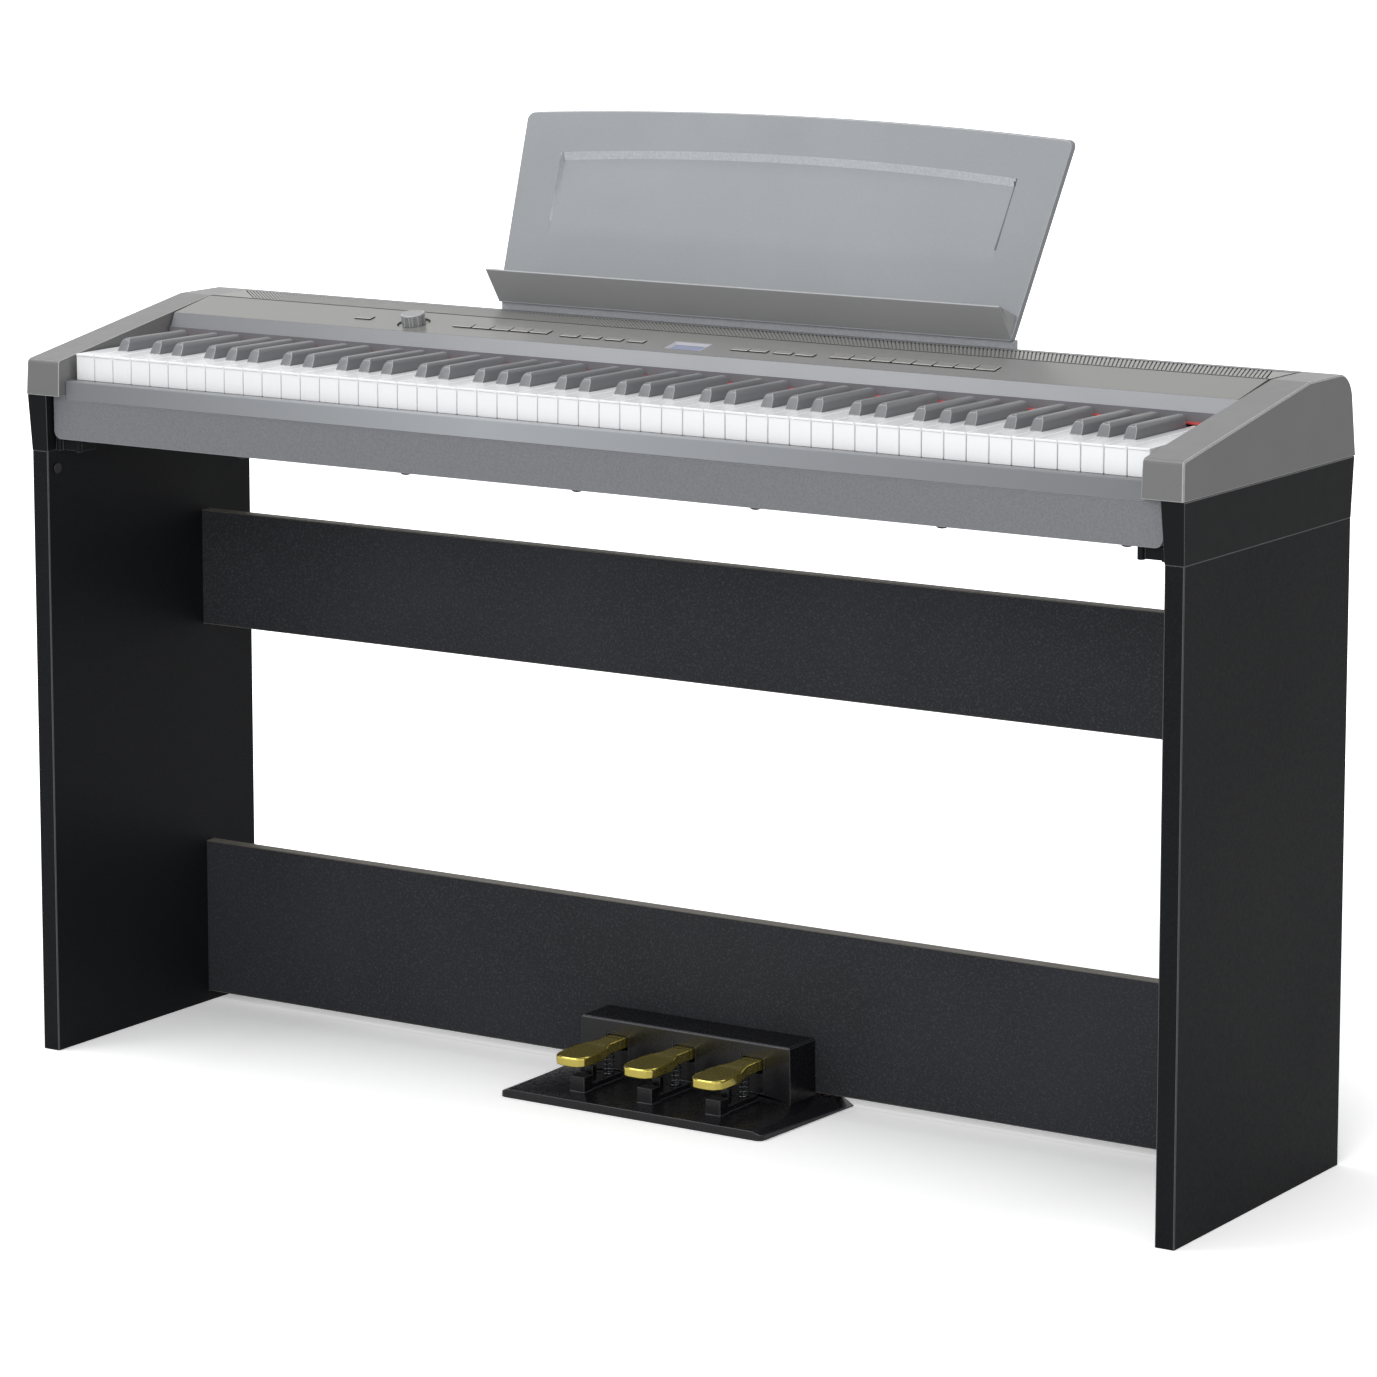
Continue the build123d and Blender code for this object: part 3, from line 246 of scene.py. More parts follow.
def metal(name, colour, rough, brushed=(1.0, 1.0, 1.0), spot=0.006, tarnish=0.85, metallic=1.0):
    """Bare metal with fine brushing, faint spots and a slight tarnish."""
    look = Look(name)
    lines = look.noise(0.0006, detail=2.0, rough=0.5, stretch=brushed)
    spots = look.noise(spot, detail=4.0, rough=0.7)
    stain = look.noise(0.02, detail=3.0, rough=0.6)
    spotted = look.mix(look.span(spots, 0.45, 0.75, 0.0, 0.6), colour, tone(colour, tarnish))
    stained = look.mix(look.span(stain, 0.5, 0.8, 0.0, 0.35), spotted, tone(colour, tarnish * 0.85))
    gloss = look.span(look.sum(lines, spots), *TWO, rough * 0.7, rough * 1.4)
    look.set(Base_Color=stained, Roughness=gloss, Metallic=metallic)
    look.bump(lines, 0.000008)
    return look


# Mouldings: name, colour, roughness, size and depth of the grain in metres, and the rest of moulded().
finish = {}
for name, code, rough, grain, depth, more in (
    ("case_plastic", "#75777B", 0.46, 0.0022, 0.00012, dict(speck=0.12, specular=0.4)),
    ("cheek_plastic", "#717171", 0.34, 0.0012, 0.00001, dict(speck=0.02)),
    ("panel_plastic", "#7B7B79", 0.24, 0.0014, 0.000001, dict(patch=0.02, speck=0.01, uneven=0.01)),
    # The fallboard holds painted shade: darker on its return, which doesn't look up, and darker towards
    # its left end.
    ("fallboard_plastic", "#A0A2A6", 0.3, 0.0012, 0.00001, dict(
        speck=0.02, painted_shade=srgb("#76777B"), painted_shade_at=(0.1, 0.3), uneven=0.01,
        drift=(srgb("#7C7E82"), "X", ((-0.62, 1.0), (-0.1, 0.0)))
    )),
    # The grille's walls are darker: painted shade in the slots between its ribs.
    ("grille_plastic", "#868684", 0.34, 0.0012, 0.00001, dict(
        speck=0.03, painted_shade=srgb("#6E6E6D"), painted_shade_at=(0.3, 0.7)
    )),
    ("rest_plastic", "#909397", 0.42, 0.0011, 0.00005, dict(speck=0.05)),
    # The recess's sloping border is paler, a painted highlight, with a coarser grain.
    ("rest_lit_grain", "#C2C5CA", 0.36, 0.0026, 0.0002, dict(speck=0.1)),
    ("rest_shade", "#5E6064", 0.5, 0.0011, 0.00005, {}),
    # The stem is paler than the panel: painted light in the shade under the tray.
    ("stem_lit_plastic", "#AFB1B6", 0.42, 0.0018, 0.00012, dict(speck=0.1)),
    # The tray is paler than the panel: painted light on its lip, which faces down into shade.
    ("tray_lit_plastic", "#A4A4A5", 0.46, 0.0011, 0.00001, dict(speck=0.015)),
    ("shoulder_plastic", "#18191B", 0.42, 0.0012, 0.00003, dict(specular=0.08)),
    ("pedal_unit_plastic", "#131316", 0.26, 0.0016, 0.00001, {}),
    ("cap_plastic", "#0F1012", 0.28, 0.0008, 0.00002, dict(specular=0.4)),
    ("chassis_plastic", "#3A3B3D", 0.5, 0.0015, 0.00006, {}),
    ("socket_plastic", "#232427", 0.4, 0.0012, 0.00004, {}),
    # The buttons' skirts are darker: painted shade on the faces round each cap.
    ("button_plastic", "#807F7C", 0.3, 0.0012, 0.00001, dict(speck=0.02, painted_shade=srgb("#2A2928"))),
    ("knob_plastic", "#8B8C8E", 0.2, 0.0012, 0.00001, dict(speck=0.02)),
    # Dark plastic for painted shade: in the knob's groove and at the panel's joint with the grille.
    ("shade_plastic", "#2E2D2B", 0.5, 0.0008, 0.00002, dict(speck=0.03, specular=0.2)),
    ("white_key", "#F9FAFC", 0.22, 0.003, 0.000002, dict(patch=0.006, speck=0.004, coat=0.25)),
    ("black_key", "#757679", 0.32, 0.0012, 0.00002, dict(patch=0.04, speck=0.04)),
    ("display_glass", "#7E87A8", 0.12, 0.0012, 0.000002, dict(patch=0.06, speck=0.03, coat=0.6)),
    # The bezel's pale lavender is a painted reflection on the display's slopes.
    ("bezel_reflection", "#A4A3AC", 0.25, 0.0008, 0.00001, dict(speck=0.02)),
):
    finish[name] = moulded(name, srgb(code), rough, grain, depth, **more)
finish["stand_board"] = board("stand_board", srgb("#17181A"), srgb("#232427"), 0.46, 0.0011)
finish["rail_board"] = board(
    "rail_board", srgb("#2F3033"), srgb("#48494F"), 0.46, 0.0014, top=srgb("#77736B")
)
for name, code, rough, more in (
    ("pedal_brass", "#DDCB68", 0.11, dict(spot=0.012, tarnish=0.9, metallic=0.87)),
    ("rod_steel", "#B9BCC2", 0.22, dict(brushed=(0.02, 1.0, 1.0))),
    ("spring_steel", "#6A6C72", 0.2, {}),
    ("hammer_steel", "#8B8D91", 0.34, dict(brushed=(1.0, 0.05, 1.0))),
    ("speaker_metal", "#5C5E62", 0.4, {}),
    ("screw_steel", "#3A3B3E", 0.32, {}),
):
    finish[name] = metal(name, srgb(code), rough, **more)

# The rounded edges: colour and roughness. Most are paler than their faces, as painted highlights.
edge_highlights = {}
for name, code, rough in (
    ("case_plastic", "#87898D", 0.4),
    ("cheek_plastic", "#A9A9A8", 0.28),
    ("panel_plastic", "#B4B3AF", 0.25),
    ("grille_plastic", "#9C9C99", 0.3),
    ("fallboard_plastic", "#A3A5A9", 0.34),
    ("rest_plastic", "#AEB1B5", 0.3),
    ("tray_lit_plastic", "#9C9FA2", 0.3),
    ("shoulder_plastic", "#3C3D42", 0.25),
    ("pedal_unit_plastic", "#3C3D42", 0.16),
    ("cap_plastic", "#26272B", 0.2),
    ("button_plastic", "#B9B8B4", 0.25),
    ("knob_plastic", "#C4C4C2", 0.2),
    ("white_key", "#FCFCFE", 0.15),
    ("black_key", "#ABACB0", 0.22),
    ("stand_board", "#4E4E50", 0.32),
    ("rail_board", "#625E56", 0.34),
):
    edge_highlights[name] = edge_highlight_look(name + "_edge", srgb(code), rough)

# Apron: grained below, with the smooth key slip above, lightened along the keyboard by a painted
# highlight.
SLIP_FOOT, SLIP_BLEND = 0.6770, 0.0006
SLIP_HIGHLIGHT = ((-0.62, 0.0), (-0.1, 1.0), (0.3, 0.35), (0.6, 0.0))
apron = Look("apron_plastic")
grain = apron.noise(0.0022, detail=3.0, rough=0.65)
band = apron.along("Z", ((SLIP_FOOT, 0.0), (SLIP_FOOT + SLIP_BLEND, 1.0)))
grained = apron.mix(apron.span(grain, *STRONG), srgb("#707276"), srgb("#7C7E82"))
smooth = apron.mix(apron.along("X", SLIP_HIGHLIGHT), srgb("#787A7E"), srgb("#A3A6AA"))
apron.set(Base_Color=apron.mix(band, grained, smooth), Specular_IOR_Level=0.4)
apron.set(Roughness=apron.span(apron.noise(HANDLED_SIZE, detail=4.0, rough=0.6), *SOFT, 0.4, 0.52))
apron.bump(grain, 0.00006)
finish["apron_plastic"] = apron
edge_highlights["apron_plastic"] = edge_highlights["case_plastic"]

# Felt: short red fibres standing in all directions.
felt = Look("felt")
fibre = felt.noise(0.0009, detail=4.0, rough=0.8, stretch=(0.35, 1.0, 1.0))
lint = felt.noise(0.004, detail=3.0, rough=0.7)
felt.set(Base_Color=felt.mix(felt.span(felt.sum(fibre, lint), 0.7, 1.3), srgb("#A02E31"), srgb("#DC5654")))
felt.set(Roughness=0.95, Sheen_Weight=0.15, Sheen_Roughness=0.5, Sheen_Tint=srgb("#FF9A92"))
felt.bump(fibre, 0.0004)
finish["felt"] = felt

# Grille cloth: a plain grey weave.
cloth = Look("grille_cloth")
warp = cloth.noise(0.0009, detail=2.0, rough=0.5, stretch=(1.0, 0.2, 1.0))
weft = cloth.noise(0.0009, detail=2.0, rough=0.5, stretch=(0.2, 1.0, 1.0))
woven = cloth.sum(warp, weft)
cloth.set(Base_Color=cloth.mix(cloth.span(woven, 0.7, 1.3), srgb("#6A6A69"), srgb("#7C7C7B")))
cloth.set(Roughness=cloth.span(woven, 0.7, 1.3, 0.75, 0.9), Specular_IOR_Level=0.2)
cloth.bump(woven, 0.0001)
finish["grille_cloth"] = cloth

# Circuit board: solder mask with copper tracks and tinned pads.
pcb = Look("circuit_board")
tracks = pcb.span(pcb.cells(0.006, "DISTANCE_TO_EDGE", stretch=(0.35, 1.0, 1.0)), 0.02, 0.05, 1.0, 0.0)
pads = pcb.cells(0.0045)
masked = pcb.mix(tracks, srgb("#1E5A38"), srgb("#2F7A4C"))
pcb.set(Base_Color=pcb.mix(pcb.span(pads, 0.12, 0.16, 1.0, 0.0), masked, srgb("#B9B28C")))
pcb.set(Roughness=pcb.span(pads, 0.1, 0.2, 0.25, 0.4))
pcb.bump(tracks, 0.00008)
finish["circuit_board"] = pcb


# ------------------------------------------------------------------ modifiers for the CAD nodes
def geometry_group(name, build):
    """A geometry group that leads the mesh through the nodes that build(group) gives, in their order."""
    group = bpy.data.node_groups.new(name, "GeometryNodeTree")
    for way in ("INPUT", "OUTPUT"):
        group.interface.new_socket("Geometry", in_out=way, socket_type="NodeSocketGeometry")
    line = [group.nodes.new("NodeGroupInput"), *build(group), group.nodes.new("NodeGroupOutput")]
    for a, b in zip(line, line[1:]):
        group.links.new(a.outputs[0], b.inputs[0])
    return group


def where(group, *tests):
    """1 where each (value, comparison, limit) holds, else 0."""
    result = None
    for value, comparison, limit in tests:
        holds = calculate(group, comparison, value, limit)
        result = calculate(group, "MULTIPLY", result, holds) if result else holds
    return result


def axes_of(group, vector):
    return add_node(group, "ShaderNodeSeparateXYZ", {0: vector}).outputs


JOIN_REACH, LONG_EDGE = 0.01 * MM, 20 * MM


def join_corners(group):
    """Joins the corners of the imported faces, so that the rounding sees whole edges."""
    return [
        add_node(group, "GeometryNodeMergeByDistance", {"Distance": JOIN_REACH}),
        add_node(group, "GeometryNodeRemoveAttribute", {"Name": "custom_normal"}),
        add_node(group, "GeometryNodeSetShadeSmooth", domain="FACE"),
        add_node(group, "GeometryNodeSetShadeSmooth", domain="EDGE"),
    ]


def long_edges(group, place):
    """Finds the long edges whose two corners both lie at place, a list of axes with their limits."""
    ends = add_node(group, "GeometryNodeInputMeshEdgeVertices").outputs
    first, second = ends["Position 1"], ends["Position 2"]
    tests = []
    for corner in (first, second):
        axes = axes_of(group, corner)
        for axis, low, high in place:
            tests += [(axes[axis], "GREATER_THAN", low), (axes[axis], "LESS_THAN", high)]
    between = add_node(group, "ShaderNodeVectorMath", {0: first, 1: second}, operation="SUBTRACT")
    length = add_node(group, "ShaderNodeVectorMath", {0: between.outputs[0]}, operation="LENGTH")
    return where(group, *tests, (length.outputs["Value"], "GREATER_THAN", LONG_EDGE))


# The black keys, in millimetres. Their tops are narrowed and the chamfers' lower corners go down the
# sides and the sloping front, so that the corner between them can be rounded.
BLACK_TOP = 735.4
TOP_CORNERS = BLACK_TOP - 1.3  # the tops' corners lie above this
CHAMFER_CORNERS = (BLACK_TOP - 2.0, BLACK_TOP - 1.55)  # and those of the chamfers between these
FACES_UP = 0.8  # least upward part of a top's normal
TOP_SHARE = 0.74  # width that is left of a top
CHAMFER_DROP = 1.7
FRONT_SLOPE = 0.574  # depth over height
CROWN_FOOT = BLACK_TOP - 2.1 - CHAMFER_DROP

# The cheeks' crease where the grille begins, in metres.
CREASE_FOOT, CREASE_FRONT, CREASE_BACK = 0.7595, FRONT + 0.2490, FRONT + 0.2502
ANY_HEIGHT = 1.0


def narrow_tops(group):
    """Narrows the black keys' tops, then lowers the chamfers' lower corners."""
    place = add_node(group, "GeometryNodeInputPosition").outputs[0]
    normal = add_node(group, "GeometryNodeInputNormal").outputs[0]
    height, upward = axes_of(group, place)["Z"], axes_of(group, normal)["Z"]
    low, high = CHAMFER_CORNERS
    tops = where(group, (height, "GREATER_THAN", TOP_CORNERS * MM), (upward, "GREATER_THAN", FACES_UP))
    chamfers = where(group, (height, "GREATER_THAN", low * MM), (height, "LESS_THAN", high * MM))
    slide = (0.0, -CHAMFER_DROP * FRONT_SLOPE * MM, -CHAMFER_DROP * MM)
    across = {"Selection": tops, "Scale": TOP_SHARE, "Axis": (1.0, 0.0, 0.0)}
    return [
        add_node(group, "GeometryNodeScaleElements", across, domain="FACE", scale_mode="SINGLE_AXIS"),
        add_node(group, "GeometryNodeSetPosition", {"Selection": chamfers, "Offset": slide}),
    ]


def weigh_crowns(group):
    crowns = long_edges(group, [("Z", CROWN_FOOT * MM, ANY_HEIGHT)])
    weight = {"Name": "bevel_weight_edge", "Value": crowns}
    return [add_node(group, "GeometryNodeStoreNamedAttribute", weight, data_type="FLOAT", domain="EDGE")]


def sharpen_crease(group):
    crease = long_edges(group, [("Z", CREASE_FOOT, ANY_HEIGHT), ("Y", CREASE_FRONT, CREASE_BACK)])
    sharp = {"Shade Smooth": False, "Selection": crease}
    return [add_node(group, "GeometryNodeSetShadeSmooth", sharp, domain="EDGE")]


joined = geometry_group("join_corners", join_corners)
narrowed = geometry_group("narrowed", narrow_tops)
crown_edges = geometry_group("crown_edges", weigh_crowns)
crease_edges = geometry_group("crease_edges", sharpen_crease)

FLAT_ANGLE, ROUND_ANGLE = math.radians(0.4), math.radians(28.0)
CROWN_STEPS = 6
EDGE_SLOT = 1  # the material slot of the rounded edges


def add_modifier(obj, name, kind, **settings):
    modifier = obj.modifiers.new(name, kind)
    for key, value in settings.items():
        setattr(modifier, key, value)


def rounded(obj, width, segments=2, crown=0.0, crease=None):
    """Rounds an object's edges with modifiers and shows them in the edge colour, its second slot, mostly a
    painted highlight.

    A crown is the wider rounding of the black keys' tops. A crease group keeps an edge sharp.
    """
    add_modifier(obj, "join", "NODES", node_group=joined)
    add_modifier(obj, "flat", "DECIMATE", decimate_type="DISSOLVE", angle_limit=FLAT_ANGLE)
    if crease:
        add_modifier(obj, "crease", "NODES", node_group=crease)
    if crown:
        add_modifier(obj, "narrow", "NODES", node_group=narrowed)
        add_modifier(obj, "pick", "NODES", node_group=crown_edges)
        add_modifier(
            obj, "arch", "BEVEL", width=crown * MM, segments=CROWN_STEPS,
            limit_method="WEIGHT", use_clamp_overlap=True, harden_normals=True
        )
    add_modifier(
        obj, "round", "BEVEL", width=width * MM, segments=segments,
        limit_method="ANGLE", angle_limit=ROUND_ANGLE, use_clamp_overlap=False, harden_normals=True,
        material=EDGE_SLOT if len(obj.material_slots) > 1 else -1
    )


def fill_slot(obj, index, look):
    obj.material_slots[index].link = "OBJECT"
    obj.material_slots[index].material = look.material


def dress(name, key, width=0.0, **options):
    """Gives a CAD node its finish, and rounds its edges where a width in millimetres is given."""
    obj = nodes[name]
    fill_slot(obj, 0, finish[key])
    if width:
        if key in edge_highlights:
            obj.data.materials.append(None)
            fill_slot(obj, EDGE_SLOT, edge_highlights[key])
        rounded(obj, width, **options)


# Finish and width of the rounded edges in millimetres.
for note in "abcdefg":
    dress(f"keys_{note}", "white_key", 0.7)
    dress(f"hammers_{note}", "hammer_steel", 0.3)
for note in ("a_sharp", "c_sharp", "d_sharp", "f_sharp", "g_sharp"):
    dress(f"keys_{note}", "black_key", 0.45, crown=3.5)
    dress(f"hammers_{note}", "hammer_steel", 0.3)
for name, key, width in (
    ("key_chassis", "chassis_plastic", 0.5),
    ("pivot_rods", "rod_steel", 0.0),
    ("felt_strips", "felt", 0.3),
    ("bottom_case", "case_plastic", 0.6),
    ("front_apron", "apron_plastic", 0.8),
    ("control_panel", "panel_plastic", 0.0),
    ("display_window", "display_glass", 0.2),
    ("fallboard", "fallboard_plastic", 0.0),
    ("speaker_grille", "grille_plastic", 0.3),
    ("speakers", "speaker_metal", 0.0),
    ("main_board", "circuit_board", 0.0),
    ("rear_cover", "case_plastic", 0.5),
    ("jack_plate", "socket_plastic", 0.3),
    ("power_button", "button_plastic", 0.0),
    ("small_buttons", "button_plastic", 0.0),
    ("style_buttons", "button_plastic", 0.0),
    ("voice_buttons", "button_plastic", 0.0),
    ("volume_knob", "knob_plastic", 0.3),
    ("left_side_panel", "stand_board", 0.4),
    ("right_side_panel", "stand_board", 0.4),
    ("upper_rail", "rail_board", 0.4),
    ("lower_rail", "rail_board", 0.4),
    ("left_shoulder", "shoulder_plastic", 0.5),
    ("right_shoulder", "shoulder_plastic", 0.5),
    ("bolt_caps", "cap_plastic", 0.4),
    ("pedal_base", "pedal_unit_plastic", 0.6),
    ("pedal_housing", "pedal_unit_plastic", 0.6),
    ("pedal_left", "pedal_brass", 1.2),
    ("pedal_middle", "pedal_brass", 1.2),
    ("pedal_right", "pedal_brass", 1.2),
):
    dress(name, key, width)
for name in ("left_cheek", "right_cheek"):
    dress(name, "cheek_plastic", 0.7, crease=crease_edges)

# ------------------------------------------------------------------ mesh helpers
BOX_SIDES = ((3, 2, 1, 0), (4, 5, 6, 7), (0, 1, 5, 4), (1, 2, 6, 5), (2, 3, 7, 6), (3, 0, 4, 7))


def put(obj):
    bpy.context.scene.collection.objects.link(obj)
    return obj


def mesh_of(bm, name):
    mesh = bpy.data.meshes.new(name)
    bm.to_mesh(mesh)
    bm.free()
    return mesh


def piece(name, shape, body, key, edge=0.0):
    """Makes a piece of a mesh or bmesh. It rides on a body, and a width in mm rounds its edges."""
    mesh = shape if isinstance(shape, bpy.types.Mesh) else mesh_of(shape, name)
    obj = put(bpy.data.objects.new(name, mesh))
    obj.data.materials.append(finish[key].material)
    if edge:
        obj.data.materials.append((edge_highlights.get(key) or finish[key]).material)
        rounded(obj, edge, 1)
    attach(obj, body)
    return obj


def at(x, depth, z):
    """A place in the scene, from millimetres across, behind the cheeks' front edge and up."""
    return x * MM, FRONT + depth * MM, z * MM


def close_box(bm, corners):
    """Adds six faces between four lower and four upper corners."""
    for side in BOX_SIDES:
        bm.faces.new([corners[i] for i in side])


def box_into(bm, low, high):
    """Adds a box between two corners, given as (x, depth, z) in millimetres."""
    corners = []
    for z in (low[2], high[2]):
        for x, depth in ((low[0], low[1]), (high[0], low[1]), (high[0], high[1]), (low[0], high[1])):
            corners.append(bm.verts.new(at(x, depth, z)))
    close_box(bm, corners)


def wall_between(bm, a, b):
    """Joins two rings of corners with a band of faces, and gives those faces."""
    n = len(a)
    return [bm.faces.new([a[i], a[(i + 1) % n], b[(i + 1) % n], b[i]]) for i in range(n)]


def prism(bm, outline, x0, x1):
    """Adds a bar along X from its (depth, z) outline."""
    a, b = [[bm.verts.new(at(x, depth, z)) for depth, z in outline] for x in (x0, x1)]
    made = [bm.faces.new(a), bm.faces.new(b[::-1])]
    for i in range(len(outline)):
        j = (i + 1) % len(outline)
        made.append(bm.faces.new([a[j], a[i], b[i], b[j]]))
    bmesh.ops.recalc_face_normals(bm, faces=made)


def full_turn(steps):
    return [math.tau * i / steps for i in range(steps)]


def limited(value):
    return min(1.0, max(0.0, value))


# ------------------------------------------------------------------ loudspeaker grille
# Fine slanting ribs over a cloth, in one frame. They fan slightly from end to end. In millimetres.
RIB_PITCH, RIB_WIDTH, RIB_RISE, RIB_SINK = 4.4, 2.9, 1.2, 0.1
RIB_SLANT, RIB_FAN, RIB_STEEPEST = 37.5, 0.028, 44.0  # in degrees, and degrees for each millimetre
RIB_LEAD, RIB_SPARE = 60.0, 30  # the row starts so far outside the frame, with so many ribs more
RIM_FRONT, RIM_BACK, RIM_END, END_GAP = 3.4, 3.0, 5.0, 0.3
CLOTH_DROP, CLOTH_GAP = 1.0, 0.2

(west, near, under), (east, far, crest) = [
    (corner.x / MM, (corner.y - FRONT) / MM, corner.z / MM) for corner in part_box("speaker_grille")
]
rib_near, rib_far, foot = near + RIM_FRONT, far - RIM_BACK, crest - RIB_RISE
bm = bmesh.new()
box_into(bm, (west, near, under), (east, far, foot))
box_into(bm, (west, near, foot), (east, rib_near, crest))
box_into(bm, (west, rib_far, foot), (east, far, crest))
for end in (-1, 1):
    x0, x1 = sorted((end * (east - RIM_END), end * east))
    box_into(bm, (x0, rib_near, foot), (x1, rib_far, crest))
limit = east - RIM_END - END_GAP
outlines = []
for i in range(int(2 * limit / RIB_PITCH) + RIB_SPARE):
    middle = -limit - RIB_LEAD + (i + 0.5) * RIB_PITCH
    angle = math.radians(min(RIB_STEEPEST, RIB_SLANT - RIB_FAN * middle))
    shift = math.tan(angle) * (rib_far - rib_near) / 2
    corners = []
    for side, near_end in ((-1, True), (1, True), (1, False), (-1, False)):
        x = middle + side * RIB_WIDTH / 2 + (shift if near_end else -shift)
        corners.append((x, rib_near if near_end else rib_far))
    across = [x for x, depth in corners]
    if max(across) <= limit and min(across) >= -limit:
        outlines.append(corners)
# A web closes the row at each end.
rib_gap, web_end = RIB_PITCH - RIB_WIDTH, limit + END_GAP
first, last = [[x for x, depth in outlines[i]] for i in (0, -1)]
for x_near0, x_near1, x_far1, x_far0 in (
    (-web_end, first[0] - rib_gap, first[3] - rib_gap, -web_end),
    (last[1] + rib_gap, web_end, web_end, last[2] + rib_gap),
):
    outlines.append([(x_near0, rib_near), (x_near1, rib_near), (x_far1, rib_far), (x_far0, rib_far)])
for corners in outlines:
    low, high = [[bm.verts.new(at(x, depth, z)) for x, depth in corners] for z in (foot, crest - RIB_SINK)]
    bm.faces.new(low[::-1])
    bm.faces.new(high)
    wall_between(bm, low, high)
ribs = piece("grille_ribs", bm, "frame", "grille_plastic", edge=0.2)
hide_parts("speaker_grille")
bm = bmesh.new()
box_into(
    bm,
    (-limit, rib_near + CLOTH_GAP, foot - CLOTH_GAP),
    (limit, rib_far - CLOTH_GAP, crest - CLOTH_DROP),
)
piece("grille_cloth", bm, "frame", "grille_cloth")

# ------------------------------------------------------------------ music rest
# A leaning panel with an arched top and a shallow arched recess, over a V-shaped tray. Its front face
# is a grid: u is the share of the half width at a height, from -1 to 1. In millimetres.
REST_ANGLE = math.radians(24.3)
LEAN = math.tan(REST_ANGLE)
REST_FRONT, REST_BACK = 322.5, 8.0 / math.cos(REST_ANGLE)  # depth at the foot, and from face to back
REST_FOOT, REST_HIP, REST_CREST = 766.0, 774.0, 962.5  # the sides spread from the hip upward
FOOT_HALF, HIP_HALF, CREST_HALF = 300.0, 301.0, 320.0
ARCH, CORNER = 9.5, 8.0  # rise of the arched top, and its corners' radius
SIDE_TOP = REST_CREST - ARCH
FACE_HALF = 312.0  # half width of the face near the recess's sides
RECESS_SIDE, RECESS_TOP = 0.848, 925.0  # in shares of the half width, and a height
RECESS_DEPTH, RECESS_FOOT, RECESS_FADE = 5.2, 836.0, 74.0
BORDER, WALL = 8.5, 1.6  # widths of the sloping border along the recess's top and sides
STRIP, STRIP_FOOT = 3.0, 846.0  # the strips along the sides: a painted highlight on the left, painted shade on the right
STRIP_KNEE, STRIP_RUN, STRIP_GROWTH = 875.0, 40.0, 0.03  # the shaded one widens above the knee
STRIP_SIDE = RECESS_SIDE - STRIP / FACE_HALF
COLUMNS, COLUMN_GAP = 26, 0.012  # even columns in each half, with room for the recess's side
SIDE_COLUMNS = (-STRIP, -1.9, -WALL, -1.3, -0.9, -0.5, -0.2, 0.0, 0.3, 1.5)  # from the recess's side
CORNER_COLUMNS = (0.975, 0.979, 0.983, 0.987, 0.991, 0.995, 0.998, 1.0)  # shares of the half width
LOW_ROWS = (REST_FOOT, 767.5, 770.0, REST_HIP, 785.0, 800.0, 818.0)
FACE_FOOT, FACE_ROWS, TOP_ROWS = 832.0, 14, 8  # rows up to the border, and from it to the top edge
BORDER_ROWS = (9.6, 9.0, BORDER, 8.0, 7.0, 5.0, 3.0, 1.5, 0.6, 0.0, -0.5)  # below the recess's top
# Slots of the border's painted highlight and of the right strip's painted shade.
LIT_GRAIN_SLOT, SHADE_SLOT = 2, 3
REST_ROUND, REST_STEPS = 0.9, 3


def rest_front(z):
    return REST_FRONT + (z - REST_FOOT) * LEAN


def rest_half(z):
    if z > REST_HIP:
        return HIP_HALF + (CREST_HALF - HIP_HALF) * (z - REST_HIP) / (SIDE_TOP - REST_HIP)
    return FOOT_HALF + (z - REST_FOOT) / (REST_HIP - REST_FOOT)


def rest_top(u):
    """Height of the top edge, with a rounded corner at its ends."""
    x = abs(u) * CREST_HALF
    over = max(0.0, x - (CREST_HALF - CORNER))
    return REST_CREST - ARCH * (x / CREST_HALF) ** 2 - (CORNER - math.sqrt(CORNER ** 2 - over * over))


def recess_top(u):
    return RECESS_TOP - ARCH * (u / RECESS_SIDE) ** 2


def recess_depth(u, z):
    """How far the recess lies behind the panel's face. It fades out towards the tray."""
    deep = RECESS_DEPTH * limited((z - RECESS_FOOT) / RECESS_FADE)
    from_side = limited((RECESS_SIDE - abs(u)) * FACE_HALF / WALL)
    return deep * limited((recess_top(u) - z) / BORDER) * from_side


def grid_columns():
    """The shares u of the grid's columns, closer together at the recess's sides and at the corners."""
    columns = [i / COLUMNS for i in range(COLUMNS) if abs(i / COLUMNS - RECESS_SIDE) > COLUMN_GAP]
    columns += [RECESS_SIDE + shift / FACE_HALF for shift in SIDE_COLUMNS]
    columns += CORNER_COLUMNS
    return sorted({-u for u in columns} | set(columns))


def evenly(low, high, count):
    return [low + (high - low) * i / count for i in range(count + 1)]


def grid_heights(u):
    """The heights of a column's corners, closer together over the recess's sloping border."""
    top = recess_top(u)
    face = evenly(FACE_FOOT, top - BORDER_ROWS[0], FACE_ROWS)[:-1]
    above = evenly(top - BORDER_ROWS[-1], rest_top(u), TOP_ROWS)[1:]
    return [*LOW_ROWS, *face, *(top - below for below in BORDER_ROWS), *above]


def face_slot(x, z):
    """The material slot of a front face from its middle."""
    u = x / rest_half(z)
    inside = (RECESS_SIDE - abs(u)) * FACE_HALF
    # The strips inside the recess's sides: a painted highlight on the left, painted shade on the right.
    if 0.0 < inside < STRIP and STRIP_FOOT < z < recess_top(u):
        return SHADE_SLOT if u > 0 else (EDGE_SLOT if inside < WALL else 0)
    return LIT_GRAIN_SLOT if inside > 0.0 and 0.0 < recess_top(u) - z < BORDER else 0


